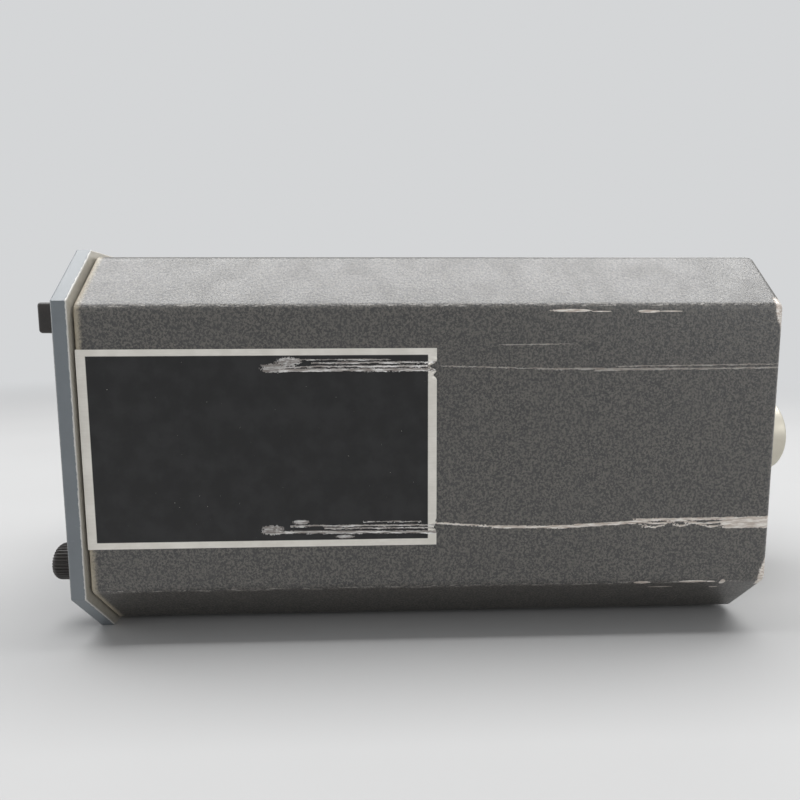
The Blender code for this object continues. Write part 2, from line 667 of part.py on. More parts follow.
def make_screws():
    """One pan-head mesh and one flat-head mesh, each shared by its copies."""
    radius = SCREW_DIAMETER / 2
    head = SCREW_HEAD_DIAMETER / 2
    reach = REAR_PLATE_THICKNESS + CASE_WALL + 2 * SEAT_GAP
    clamped = FLANGE_THICKNESS + FLANGE_GASKET_THICKNESS + 2 * SEAT_GAP
    sets = (
        ("case_screw", CASE_SCREWS, CASE_BACK + SEAT_GAP, reach),
        ("receptacle_screw", FLANGE_SCREWS, FLANGE_BACK + SEAT_GAP, reach + clamped),
    )
    slot_long, slot_wide, slot_deep = SCREW_SLOT
    for name, places, seat, length in sets:
        dome = [(head, SCREW_HEAD_HEIGHT * 0.55), (head * 0.75, SCREW_HEAD_HEIGHT * 0.9), (0, SCREW_HEAD_HEIGHT)]
        profile = [(0, -length), (radius, -length), (radius, 0), (head, 0), *dome]
        pattern = turned(f"{name}_pattern", profile, NICKEL, steps=SMALL_STEPS)
        for index, size in enumerate(((slot_long, slot_wide), (slot_wide, slot_long))):
            outline = [rectangle(*size)]
            y = SCREW_HEAD_HEIGHT - slot_deep
            boolean(pattern, flat_part(f"{name}_recess_{index + 1}", outline, y, SCREW_HEAD_HEIGHT + PAST, None))
        mesh = baked_mesh(pattern)
        smooth(mesh)
        for index, (x, z) in enumerate(places):
            place(f"{name}_{index + 1}", mesh, NICKEL, (x, seat, z))
    profile = [
        (0, SCREW_GAP),
        (head, SCREW_GAP),
        (radius, BEZEL_SCREW_HEAD_DEPTH + SCREW_GAP),
        (radius, BEZEL_SCREW_LENGTH),
        (0, BEZEL_SCREW_LENGTH),
    ]
    pattern = turned("bezel_screw_pattern", profile, NICKEL, steps=SMALL_STEPS)
    for index, size in enumerate(((slot_long, slot_wide), (slot_wide, slot_long))):
        boolean(pattern, flat_part(f"bezel_recess_{index + 1}", [rectangle(*size)], -PAST, slot_deep, None))
    mesh = baked_mesh(pattern)
    smooth(mesh)
    for index, (x, z) in enumerate(BEZEL_SCREWS):
        place(f"bezel_screw_{index + 1}", mesh, NICKEL, (x, 0, z))


# Receptacle.
def make_receptacle():
    flange = chamfered_square(FLANGE_SIZE, FLANGE_CHAMFER)
    screw_holes = [
        circle(SCREW_HOLE / 2, at, SMALL_STEPS) for at in four_corners(FLANGE_SCREW_OFFSET, FLANGE_SCREW_OFFSET)
    ]
    neck_hole = circle(NECK_DIAMETER / 2 + SEAT_GAP)
    gasket_back = FLANGE_GASKET_FRONT + FLANGE_GASKET_THICKNESS
    outlines = [flange, neck_hole, *screw_holes]
    flat_part("receptacle_gasket", outlines, FLANGE_GASKET_FRONT, gasket_back, BLACK_RUBBER, RECEPTACLE_AT)

    barrel = BARREL_DIAMETER / 2
    socket = SOCKET_DIAMETER / 2
    neck = NECK_DIAMETER / 2
    bore = INSERT_BORE / 2
    shoulder = INSERT_FACE - INSERT_PROUD
    neck_front = FLANGE_FRONT - NECK_LENGTH
    profile = [
        (neck, neck_front),
        (neck, FLANGE_FRONT + FLANGE_THICKNESS / 2),
        (barrel, FLANGE_FRONT + FLANGE_THICKNESS / 2),
        (barrel, RECEPTACLE_MOUTH - BARREL_CHAMFER),
        (barrel - BARREL_CHAMFER, RECEPTACLE_MOUTH),
        (socket, RECEPTACLE_MOUTH),
        (socket, shoulder),
        (bore, shoulder),
        (bore, neck_front),
    ]
    at = (0, 0, RECEPTACLE_Z)
    shell = turned("receptacle_shell", profile, NICKEL, at, steps=2 * ROUND_STEPS, closed=True)
    hidden_hole = circle((neck + bore) / 2)
    outlines = [flange, hidden_hole, *screw_holes]
    plate = flat_part("receptacle_flange", outlines, FLANGE_FRONT, FLANGE_BACK, None, RECEPTACLE_AT)
    boolean(shell, plate, "UNION")

    length = INSERT_FACE - INSERT_BACK
    mesh = rod_mesh("receptacle_insert", INSERT_BORE - 2 * SEAT_GAP, length, 2 * ROUND_STEPS)
    insert = place("receptacle_insert", mesh, INSERT_GREEN, (0, (INSERT_FACE + INSERT_BACK) / 2, RECEPTACLE_Z))
    for ring, (radius, count) in enumerate(PIN_RINGS):
        for index, (x, z) in enumerate(circle(radius, RECEPTACLE_AT, count)):
            front = INSERT_FACE - PIN_ROOT
            pin = hole_cutter(f"pin_{ring}_{index}", PIN_DIAMETER, front, INSERT_FACE + PIN_LENGTH, (x, z), 8)
            boolean(insert, pin, "UNION")


# Electronics.
def spread_along_board(lengths):
    """The middles of parts with these lengths, set along a main board with equal gaps."""
    gap = (MAIN_BOARD_END - MAIN_BOARD_START - sum(lengths)) / (len(lengths) + 1)
    middles = []
    y = MAIN_BOARD_START
    for length in lengths:
        middles.append(y + gap + length / 2)
        y += gap + length
    return middles


def make_boards():
    top = MAIN_BOARD_HEIGHT / 2
    for name, side in (("power_board", -1), ("logic_board", 1)):
        near, far = sorted((side * BOARD_FACE_X, side * (BOARD_FACE_X + BOARD_THICKNESS)))
        block(name, (near, MAIN_BOARD_START, -top), (far, MAIN_BOARD_END, top), BOARD_GREEN)
    high, long, wide = CHIP_SIZE
    for index, y in enumerate(spread_along_board([long] * CHIP_COUNT)):
        low = (PART_FACE_X - high, y - long / 2, -wide / 2)
        block(f"logic_chip_{index + 1}", low, (PART_FACE_X, y + long / 2, wide / 2), BLACK_PLASTIC)


def make_power_parts():
    lengths = [HEAT_SINK_SIZE[1], CAPACITOR_LENGTH, TRANSFORMER_SIZE[1]]
    heat_sink_y, capacitor_y, transformer_y = spread_along_board(lengths)
    deep, long, tall = TRANSFORMER_SIZE
    low = (-PART_FACE_X, transformer_y - long / 2, -tall / 2)
    high = (deep - PART_FACE_X, transformer_y + long / 2, tall / 2)
    block("transformer", low, high, TRANSFORMER_VARNISH)
    for index, level in enumerate((1, -1)):
        name = f"filter_capacitor_{index + 1}"
        mesh = rod_mesh(name, CAPACITOR_DIAMETER, CAPACITOR_LENGTH, 20)
        x = CAPACITOR_DIAMETER / 2 - PART_FACE_X
        place(name, mesh, CAPACITOR_BLUE, (x, capacitor_y, level * CAPACITOR_Z))
    deep, long, tall = HEAT_SINK_SIZE
    pitch = (tall - HEAT_SINK_FIN) / (HEAT_SINK_FINS - 1)
    comb = [(0, 0), (0, tall)]
    for fin in reversed(range(HEAT_SINK_FINS)):
        level = pitch * fin
        comb += [(deep, level + HEAT_SINK_FIN), (deep, level)]
        if fin:
            comb += [(HEAT_SINK_BASE, level), (HEAT_SINK_BASE, level - pitch + HEAT_SINK_FIN)]
    outline = [(u - PART_FACE_X, v - tall / 2) for u, v in comb]
    y_front = heat_sink_y - long / 2
    flat_part("heat_sink", [outline], y_front, y_front + long, BARE_ALUMINIUM)


def smooth_route(route, samples):
    """Points on the Catmull-Rom curve through the route, with a given number for each stretch."""
    ends = [route[0], *route, route[-1]]
    points = []
    for index in range(len(route) - 1):
        before, start, end, after = ends[index : index + 4]
        for step in range(samples):
            t = step / samples
            weights = (
                -0.5 * t**3 + t**2 - 0.5 * t,
                1.5 * t**3 - 2.5 * t**2 + 1,
                -1.5 * t**3 + 2 * t**2 + 0.5 * t,
                0.5 * t**3 - 0.5 * t**2,
            )
            axes = zip(before, start, end, after)
            points.append([sum(w * value for w, value in zip(weights, axis)) for axis in axes])
    points.append(route[-1])
    return points


def make_wiring():
    start = INSERT_BACK - SEAT_GAP
    end = PART_FACE_X
    below = -MAIN_BOARD_HEIGHT / 2 + 6 * MM
    along = start - 45 * MM
    route = [
        (0, start, RECEPTACLE_Z),
        (0, start - 4 * MM, RECEPTACLE_Z),
        (0, start - 9 * MM, RECEPTACLE_Z),
        (end / 3, start - 22 * MM, below * 0.7),
        (end * 0.7, start - 36 * MM, below),
        (end - 8 * MM, along, below),
        (end - 4 * MM, along, below),
        (end, along, below),
    ]
    curve = bpy.data.curves.new("wire_bundle", "CURVE")
    curve.dimensions = "3D"
    curve.bevel_depth = WIRE_DIAMETER / 2
    curve.bevel_resolution = 2
    curve.use_fill_caps = True
    points = smooth_route(route, WIRE_SAMPLES)
    spline = curve.splines.new("POLY")
    spline.points.add(len(points) - 1)
    for point, place_at in zip(spline.points, points):
        point.co = (*place_at, 1)
    curve.materials.append(WIRE_WHITE)
    wire = bpy.data.objects.new("wire_bundle", curve)
    wire.parent = AXIS
    PARTS.objects.link(wire)

    board_back = BEHIND_FRAME + BOARD_THICKNESS + SEAT_GAP
    face = PART_FACE_X
    thick = RIBBON_THICKNESS
    lap = MAIN_BOARD_START + RIBBON_LAP
    centre = [
        (RIBBON_START_X, board_back),
        (RIBBON_START_X, RIBBON_BEND_Y - thick),
        (face - thick, RIBBON_BEND_Y + thick),
        (face - thick, lap),
    ]
    outline = [
        *centre,
        (face, lap),
        (face, RIBBON_BEND_Y),
        (RIBBON_START_X + thick, RIBBON_BEND_Y - 2 * thick),
        (RIBBON_START_X + thick, board_back),
    ]
    mesh = flat_mesh("display_ribbon", [outline], RIBBON_WIDTH, "Z")
    place("display_ribbon", mesh, RIBBON_GREY)


clear_scene()
PARTS = new_collection("panel_navigation_display")
CUTTERS = new_collection("cutters")
AXIS = new_empty("instrument_axis", (0, -MIDDLE_Y, BEZEL_SIZE / 2))

BEZEL_PAINT = material("bezel_paint", (0.14, 0.165, 0.19), 0.5)
CASE_PAINT = material("case_paint", (0.05, 0.05, 0.052), 0.55)
BARE_ALUMINIUM = material("bare_aluminium", (0.62, 0.61, 0.58), 0.4, 1.0)
NICKEL = material("nickel_plate", (0.72, 0.69, 0.6), 0.35, 1.0)
LENS_PLASTIC = material("lens_plastic", (0.02, 0.018, 0.018), 0.12, 0.0, 0.4)
LAMP_PLASTIC = material("lamp_plastic", (0.45, 0.4, 0.3), 0.3)
DIGIT_BLACK = material("digit_black", (0.03, 0.02, 0.02), 0.35)
BLACK_PLASTIC = material("black_plastic", (0.02, 0.019, 0.018), 0.45)
BLACK_RUBBER = material("black_rubber", (0.03, 0.03, 0.03), 0.8)
BOARD_GREEN = material("board_green", (0.05, 0.16, 0.06), 0.4)
INSERT_GREEN = material("insert_green", (0.05, 0.08, 0.06), 0.6)
TRANSFORMER_VARNISH = material("transformer_varnish", (0.25, 0.16, 0.05), 0.4)
CAPACITOR_BLUE = material("capacitor_blue", (0.04, 0.1, 0.3), 0.35)
WIRE_WHITE = material("wire_white", (0.7, 0.69, 0.65), 0.5)
RIBBON_GREY = material("ribbon_grey", (0.45, 0.45, 0.47), 0.5)

make_bezel()
make_lens_and_gasket()
make_front_frame()
make_display()
make_annunciators()
make_button()
make_knob()
make_case()
make_data_plate()
make_chassis()
make_screws()
make_receptacle()
make_boards()
make_power_parts()
make_wiring()
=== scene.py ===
"""Looks for a panel navigation display: paint, plate, controls, receptacle, floor, lamps and camera."""

import math

import bmesh
import bpy
import numpy as np
from mathutils import Matrix, Vector


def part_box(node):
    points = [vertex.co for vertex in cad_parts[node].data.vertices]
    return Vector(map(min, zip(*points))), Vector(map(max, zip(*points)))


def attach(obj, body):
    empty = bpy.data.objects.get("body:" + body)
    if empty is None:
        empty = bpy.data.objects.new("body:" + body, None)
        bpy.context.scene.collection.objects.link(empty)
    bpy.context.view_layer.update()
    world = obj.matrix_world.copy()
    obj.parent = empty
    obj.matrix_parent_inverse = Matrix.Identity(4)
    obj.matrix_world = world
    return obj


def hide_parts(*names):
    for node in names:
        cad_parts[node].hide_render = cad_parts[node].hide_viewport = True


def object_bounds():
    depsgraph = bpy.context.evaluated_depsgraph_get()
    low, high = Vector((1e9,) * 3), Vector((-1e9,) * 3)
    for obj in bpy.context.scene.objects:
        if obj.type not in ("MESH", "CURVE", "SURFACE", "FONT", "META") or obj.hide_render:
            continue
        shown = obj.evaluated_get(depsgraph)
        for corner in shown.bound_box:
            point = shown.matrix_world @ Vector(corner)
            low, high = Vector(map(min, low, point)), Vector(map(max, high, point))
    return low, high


bl_info = {
    "name": "Panel Navigation Display",
    "version": (1, 0, 0),
    "blender": (4, 5, 0),
    "location": "View3D > Sidebar > Display",
    "description": "Gives the packed panel display its surfaces, finishes, floor, lamps and camera",
    "category": "Object",
}

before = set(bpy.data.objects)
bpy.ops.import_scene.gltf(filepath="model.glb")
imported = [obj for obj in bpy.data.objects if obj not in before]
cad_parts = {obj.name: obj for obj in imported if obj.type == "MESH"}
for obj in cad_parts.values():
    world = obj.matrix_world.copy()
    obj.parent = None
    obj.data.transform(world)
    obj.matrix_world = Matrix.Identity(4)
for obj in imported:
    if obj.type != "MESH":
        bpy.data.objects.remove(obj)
CAD_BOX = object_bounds()
MM = 0.001


def low(node):
    return Vector(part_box(node)[0])


def high(node):
    return Vector(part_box(node)[1])


def middle(node):
    return (low(node) + high(node)) / 2


# Places on the instrument, in metres: the bezel's front plane and the case's centre height.
FRONT_Y = low("bezel").y
CENTRE_Z = middle("case_shell").z
CASE_BACK_Y = high("case_shell").y

# Colour that the floor fades into and that the world shows.
BACKDROP = (0.66, 0.67, 0.68, 1)


def length_property(name, description, default):
    return bpy.props.FloatProperty(name=name, description=description, default=default, unit="LENGTH")


class DisplaySizes(bpy.types.PropertyGroup):
    """Sizes of the surfaces that are modelled here."""

    case_chamfer: length_property("Case chamfer", "Leg of the case's corner chamfers", 11.1 * MM)
    case_bend: length_property("Case bend", "Radius of the case's long edges", 2.4 * MM)
    case_end_radius: length_property("Case end radius", "Radius round the case's closed end", 1.5 * MM)
    case_wall: length_property("Case wall", "Thickness of the case's sheet", 1.2 * MM)
    plate_border: length_property("Plate border", "Width of the data plate's bare border", 1.6 * MM)
    crumple: length_property("Plate crumple", "Height of the torn foil's folds", 0.42 * MM)
    knob_ridges: bpy.props.IntProperty(
        name="Knob ridges", description="Number of ridges round the knob", default=34
    )
    knob_ridge_depth: length_property("Knob ridge depth", "Depth of the knob's ridges", 0.3 * MM)
    knob_rounding: length_property("Knob rounding", "Radius of the knob's front edge", 1.4 * MM)
    button_rounding: length_property("Button rounding", "Radius of the button's edges", 0.5 * MM)


def colour_property(name, description, default):
    return bpy.props.FloatVectorProperty(
        name=name, description=description, default=default, size=3, min=0, max=1, subtype="COLOR"
    )


class DisplayColours(bpy.types.PropertyGroup):
    """Base colours of the finishes."""

    # Painted shade: the hollows of the wrinkle paint are painted darker than the paint's own black.
    case_shaded_hollow: colour_property("Case dark", "Hollows of the case's wrinkle paint", (0.001, 0.001, 0.001))
    # Painted highlight: the crests of the wrinkle paint are the paint's own black lifted by painted light.
    case_lit_crest: colour_property("Case light", "Crests of the case's wrinkle paint", (0.098, 0.089, 0.076))
    bezel_paint: colour_property("Bezel paint", "Blue-grey enamel of the bezel", (0.115, 0.134, 0.15))
    bare_metal: colour_property("Bare metal", "Aluminium where paint is gone", (0.66, 0.62, 0.56))
    plate_metal: colour_property("Plate metal", "Foil of the data plate", (0.74, 0.71, 0.65))
    plate_field: colour_property("Plate field", "Neutral field of the data plate", (0.013, 0.013, 0.0135))
    moulding: colour_property("Black moulding", "Knob, button and other mouldings", (0.017, 0.0155, 0.0145))
    nickel: colour_property("Nickel", "Plating of the receptacle and screws", (0.72, 0.68, 0.58))


class Socket:
    """One output of a node, with arithmetic that adds Math nodes."""

    def __init__(self, tree, output):
        self.tree = tree
        self.output = output

    def math(self, operation, *others):
        return self.tree.add("ShaderNodeMath", {"operation": operation}, [self, *others])

    def __add__(self, other):
        return self.math("ADD", other)

    def __sub__(self, other):
        return self.math("SUBTRACT", other)

    def __rsub__(self, other):
        return self.tree.add("ShaderNodeMath", {"operation": "SUBTRACT"}, [other, self])

    def __mul__(self, other):
        return self.math("MULTIPLY", other)

    def __abs__(self):
        return self.math("ABSOLUTE")

    __radd__ = __add__
    __rmul__ = __mul__


class Tree:
    """A material's node tree, with one method for any node."""

    def __init__(self, name, roughness=0.5, metallic=0.0, **constants):
        self.material = bpy.data.materials.new(name)
        self.material.use_nodes = True
        self.nodes = self.material.node_tree.nodes
        self.links = self.material.node_tree.links
        self.surface = self.nodes["Principled BSDF"]
        self.surface.inputs["Roughness"].default_value = roughness
        self.surface.inputs["Metallic"].default_value = metallic
        for socket, value in constants.items():
            self.surface.inputs[socket.replace("_", " ")].default_value = value

    def put(self, socket, value):
        if isinstance(value, Socket):
            self.links.new(value.output, socket)
        elif value is not None:
            socket.default_value = value

    def add(self, kind, settings=None, values=(), output=0):
        """A node of any type: its settings first, then its sockets by order or by name."""
        node = self.nodes.new(kind)
        for name, setting in (settings or {}).items():
            if name == "stops":
                ramp = node.color_ramp.elements
                while len(ramp) < len(setting):
                    ramp.new(0.5)
                for element, (place, shade) in zip(ramp, setting):
                    element.position = place
                    element.color = (shade, shade, shade, 1)
            else:
                setattr(node, name, setting)
        pairs = values.items() if isinstance(values, dict) else enumerate(values)
        for key, value in pairs:
            self.put(node.inputs[key], value)
        return Socket(self, node.outputs[output])

    def place(self):
        """Millimetres from the bezel's front plane and the case's centre line: a vector socket."""
        position = self.add("ShaderNodeTexCoord", output="Object")
        shift = (0, -FRONT_Y, -CENTRE_Z)
        moved = self.add("ShaderNodeVectorMath", {"operation": "ADD"}, [position, shift])
        return self.add("ShaderNodeVectorMath", {"operation": "SCALE"}, {0: moved, "Scale": 1000})

    def split(self, vector):
        node = self.nodes.new("ShaderNodeSeparateXYZ")
        self.put(node.inputs[0], vector)
        return [Socket(self, output) for output in node.outputs]

    def noise(self, place, scale, detail=2.0, roughness=0.5, distortion=0.0):
        values = {"Vector": place, "Scale": scale, "Detail": detail, "Roughness": roughness}
        values["Distortion"] = distortion
        return self.add("ShaderNodeTexNoise", None, values)

    def stretched(self, place, scales):
        """The place with each axis multiplied, for a grain that runs one way."""
        return self.add("ShaderNodeVectorMath", {"operation": "MULTIPLY"}, [place, scales])

    def step(self, value, start, end):
        """0 below start, 1 above end, smooth between; start may be the larger, which turns it round."""
        flipped = start > end
        edges = {"Value": value, "From Min": min(start, end), "From Max": max(start, end)}
        made = self.add("ShaderNodeMapRange", {"interpolation_type": "SMOOTHSTEP"}, edges)
        return 1 - made if flipped else made

    def most(self, *masks):
        result = masks[0]
        for mask in masks[1:]:
            result = result.math("MAXIMUM", mask)
        return result

    def mix(self, mask, first, second):
        """A colour between two colours."""
        made = self.nodes.new("ShaderNodeMix")
        made.data_type = "RGBA"
        self.put(made.inputs[0], mask)
        for index, colour in ((6, first), (7, second)):
            self.put(made.inputs[index], colour if isinstance(colour, Socket) else (*colour, 1))
        return Socket(self, made.outputs[2])

    def bump(self, height, distance, strength=1.0, under=None):
        values = {"Strength": strength, "Distance": distance, "Height": height}
        if under:
            values["Normal"] = under
        return self.add("ShaderNodeBump", None, values)

    def cover(self, share, other):
        """Show another shader over a share of the surface."""
        blend = self.nodes.new("ShaderNodeMixShader")
        self.put(blend.inputs[0], share)
        self.links.new(self.surface.outputs[0], blend.inputs[1])
        self.put(blend.inputs[2], other)
        self.links.new(blend.outputs[0], self.nodes["Material Output"].inputs["Surface"])

    def finish(self, colour, roughness=None, metallic=None, normal=None):
        self.put(self.surface.inputs["Base Color"], colour if isinstance(colour, Socket) else (*colour, 1))
        self.put(self.surface.inputs["Roughness"], roughness)
        self.put(self.surface.inputs["Metallic"], metallic)
        self.put(self.surface.inputs["Normal"], normal)
        return self.material


def sizes():
    return bpy.context.scene.display_sizes


def colours():
    return bpy.context.scene.display_colours


# Finishes.
def stroke(along, across, start, end, width):
    """A scratch: 1 within half a width of the straight line from start to end, each (y, z) in mm."""
    slope = (end[1] - start[1]) / (end[0] - start[0])
    line = along.math("MULTIPLY_ADD", slope, start[1] - start[0] * slope)
    near = across.math("COMPARE", line, width / 2)
    return near * along.math("COMPARE", (start[0] + end[0]) / 2, (end[0] - start[0]) / 2)


def arch(along, across, start, end, base, rise, width):
    """A thin line that bows by rise below the level base between two y: paint lifted beside a gouge."""
    share = along.math("MULTIPLY_ADD", 1 / (end - start), -start / (end - start))
    bow = (share - share * share) * (4 * rise) + across
    return bow.math("COMPARE", base, width / 2) * share.math("COMPARE", 0.5, 0.5)


def chip(along, across, ragged, centre, half_length, half_height):
    """An oval of bare metal with a ragged rim, centred on (y, z)."""
    out = along.math("MULTIPLY_ADD", 1 / half_length, -centre[0] / half_length)
    up = across.math("MULTIPLY_ADD", 1 / half_height, -centre[1] / half_height)
    return (out * out + up * up + ragged).math("LESS_THAN", 1)


def gouge_marks(tree, along, across):
    """The two long scrapes down the plate side of the case, behind the plate: faint above, deep below."""
    faint = (
        ((76, 17.2), (98, 16.5), 0.22),
        ((96, 16.5), (130, 16.3), 0.34),
        ((108, 16.1), (147, 16.5), 0.3),
        ((112, 16.9), (147.5, 17.2), 0.22),
        ((88, 21.4), (103, 21.5), 0.16),
    )
    deep = (
        ((74, -15.4), (90, -16.6), 0.4),
        ((87, -16.5), (103, -16.8), 0.6),
        ((100, -16.8), (120, -15.8), 0.7),
        ((117, -15.5), (147.5, -15.4), 0.6),
        ((136, -16.4), (148, -16.5), 2.3),
    )
    bows = ((117.5, 124.7, 1.3), (124.7, 129.4, 1.1), (129.4, 138, 1.3), (118, 126, 0.5), (127, 137, 0.6))
    light = [stroke(along, across, *line) for line in faint]
    bright = [stroke(along, across, *line) for line in deep]
    bright += [arch(along, across, start, end, -15.8, rise, 0.36) for start, end, rise in bows]
    return tree.most(tree.most(*light) * 0.42, tree.most(*bright) * 0.95)


def edge_chips(tree, along, across, ragged):
    """Paint knocked off the two long bends on the plate side."""
    spots = (
        ((102.3, 28.2), 4.2, 0.3),
        ((108.6, 28.0), 2.2, 0.12),
        ((118.2, 28.0), 2.3, 0.3),
        ((122.8, 28.0), 2.4, 0.13),
        ((119.4, -29.4), 1.8, 0.34),
        ((130.4, -29.35), 3.0, 0.3),
        ((134.4, -29.45), 1.0, 0.22),
        ((137.0, -29.6), 0.6, 0.7),
        ((124.1, -31.2), 2.6, 0.14),
        ((136.2, -31.6), 1.0, 0.16),
    )
    return tree.most(*[chip(along, across, ragged, centre, long, tall) for centre, long, tall in spots])


def case_paint():
    """Black wrinkle paint with painted light and shade: crests painted lighter as painted highlight, pale
    flecks on them as painted glints, hollows painted darker as painted shade; also a dusty sheen, bare metal at
    worn edges, chips and gouges.
    """
    tree = Tree("case_wrinkle_paint", Specular_IOR_Level=1.0, Coat_Weight=0.12, Coat_Roughness=0.4)
    shades = colours()
    place = tree.place()
    side, along, across = tree.split(place)
    grain = tree.noise(place, 2.2, 4.0, 0.7, 0.3)
    fine = tree.noise(place, 4.2, 2.0, 0.6)
    blotch = tree.noise(place, 0.16, 2.0, 0.55)
    ragged = tree.noise(place, 2.1, 3.0, 0.65) - 0.5
    streak = tree.noise(tree.stretched(place, (1, 0.12, 1)), 3.2, 3.0, 0.6) - 0.5

    # Painted light and shade: this mask lightens the wrinkle's crests as painted highlight and leaves its
    # hollows at the darker painted shade.
    crest_highlight_mask = tree.step(grain * 0.85 + fine * 0.15, 0.44, 0.57)
    # Painted glints: pale flecks on the crests of the wrinkle stand in for glints of light.
    glint_mask = tree.step(fine, 0.69, 0.76) * tree.step(grain, 0.5, 0.6)
    tone = tree.mix(crest_highlight_mask, shades.case_shaded_hollow, shades.case_lit_crest)
    tone = tree.mix(glint_mask * 0.55, tone, (0.3, 0.29, 0.27))
    dusty = tree.step(blotch, 0.38, 0.7) * 0.4
    tone = tree.mix(dusty * 0.4, tone, (0.05, 0.048, 0.044))

    on_plate_side = tree.step(side, 37.6, 38.6)
    gouges = gouge_marks(tree, along + ragged * 5, across + streak * 0.6 + ragged * 0.45) * on_plate_side
    chips = edge_chips(tree, along, across, ragged * 1.6) * tree.step(side, 36.0, 37.0)

    back = (CASE_BACK_Y - FRONT_Y) / MM
    rim = tree.step(along + ragged * 2.2, back - 0.8, back - 0.3)
    rim = rim * tree.step(along, back - 0.02, back - 0.14) * 0.45
    front_rim = tree.step(along + ragged * 1.6, 5.4, 4.1)
    near_corner = tree.step(abs(abs(across) - 29.0), 8.0, 0.4)
    knocked = tree.step(along + ragged * 1.2 + near_corner * 2.4, back + 0.1, back + 0.6)
    knocked = knocked * tree.step(side, 38.2, 39.4)
    bend = tree.step(abs(across), 29.0, 29.25) * tree.step(abs(across), 29.9, 29.6) * on_plate_side
    rubbed = bend * tree.step(streak + ragged * 0.6, 0.02, 0.16) * 0.3
    bare = tree.most(gouges, chips, rim, knocked, rubbed)

    primer = tree.mix(tree.noise(place, 1.1), (0.4, 0.34, 0.24), (0.62, 0.55, 0.42))
    tone = tree.mix(front_rim * 0.75, tone, primer)
    metal = tree.mix(tree.step(streak, -0.12, 0.16), (0.52, 0.44, 0.38), (0.9, 0.86, 0.8))
    tone = tree.mix(bare, tone, metal)

    height = tree.noise(place, 1.9, 2.0, 0.55, 0.3) * (1 - bare) + fine * 0.22
    wrinkle = tree.bump(height, 0.1 * MM, 0.85)
    surface = tree.bump(1 - bare + streak * bare * 0.8, 0.06 * MM, 0.7, wrinkle)
    roughness = tree.step(blotch, 0.3, 0.75) * 0.08 + 0.36 + bare * 0.04
    return tree.finish(tone, roughness, bare * 0.35, surface)


def bezel_paint():
    """Blue-grey enamel with a faint orange peel, rubbed edges and a bare rear face."""
    tree = Tree("bezel_enamel", Specular_IOR_Level=1.0)
    shades = colours()
    place = tree.place()
    side, along, across = tree.split(place)
    peel = tree.noise(place, 1.2, 2.0, 0.5)
    mottle = tree.noise(place, 0.12, 3.0, 0.6)
    specks = tree.step(tree.noise(place, 2.6, 2.0, 0.7), 0.72, 0.78)
    scuff = tree.noise(tree.stretched(place, (0.4, 0.4, 3)), 1.4, 3.0, 0.7)
    thickness = (high("bezel").y - FRONT_Y) / MM
    bare = tree.step(along + (peel - 0.5) * 0.1, thickness - 0.08, thickness - 0.03)
    rear_edge = tree.step(along + (peel - 0.5) * 0.3, thickness - 0.3, thickness - 0.16)
    faded = tree.mix(mottle * 0.5, shades.bezel_paint, (0.2, 0.225, 0.245))
    tone = tree.mix(tree.step(scuff, 0.62, 0.8) * 0.25, faded, (0.4, 0.42, 0.43))
    tone = tree.mix(specks * 0.4, tone, (0.05, 0.055, 0.06))
    outer = high("bezel").x / MM
    rubbed = tree.most(tree.step(abs(side), outer - 0.25, outer), tree.step(abs(across), outer - 0.25, outer))
    front_edge = tree.step(along + (peel - 0.5) * 0.5, 0.34, 0.02) * rubbed
    dull_metal = tree.mix(tree.noise(place, 0.7, 3.0), (0.38, 0.36, 0.31), (0.56, 0.53, 0.47))
    tone = tree.mix(tree.most(bare, front_edge * 0.5), tone, dull_metal)
    tone = tree.mix(rear_edge * (1 - bare) * 0.85, tone, (0.72, 0.7, 0.66))
    roughness = mottle * 0.12 + 0.34 + bare * 0.1
    return tree.finish(tone, roughness, bare * 0.3, tree.bump(peel, 0.02 * MM, 0.5))


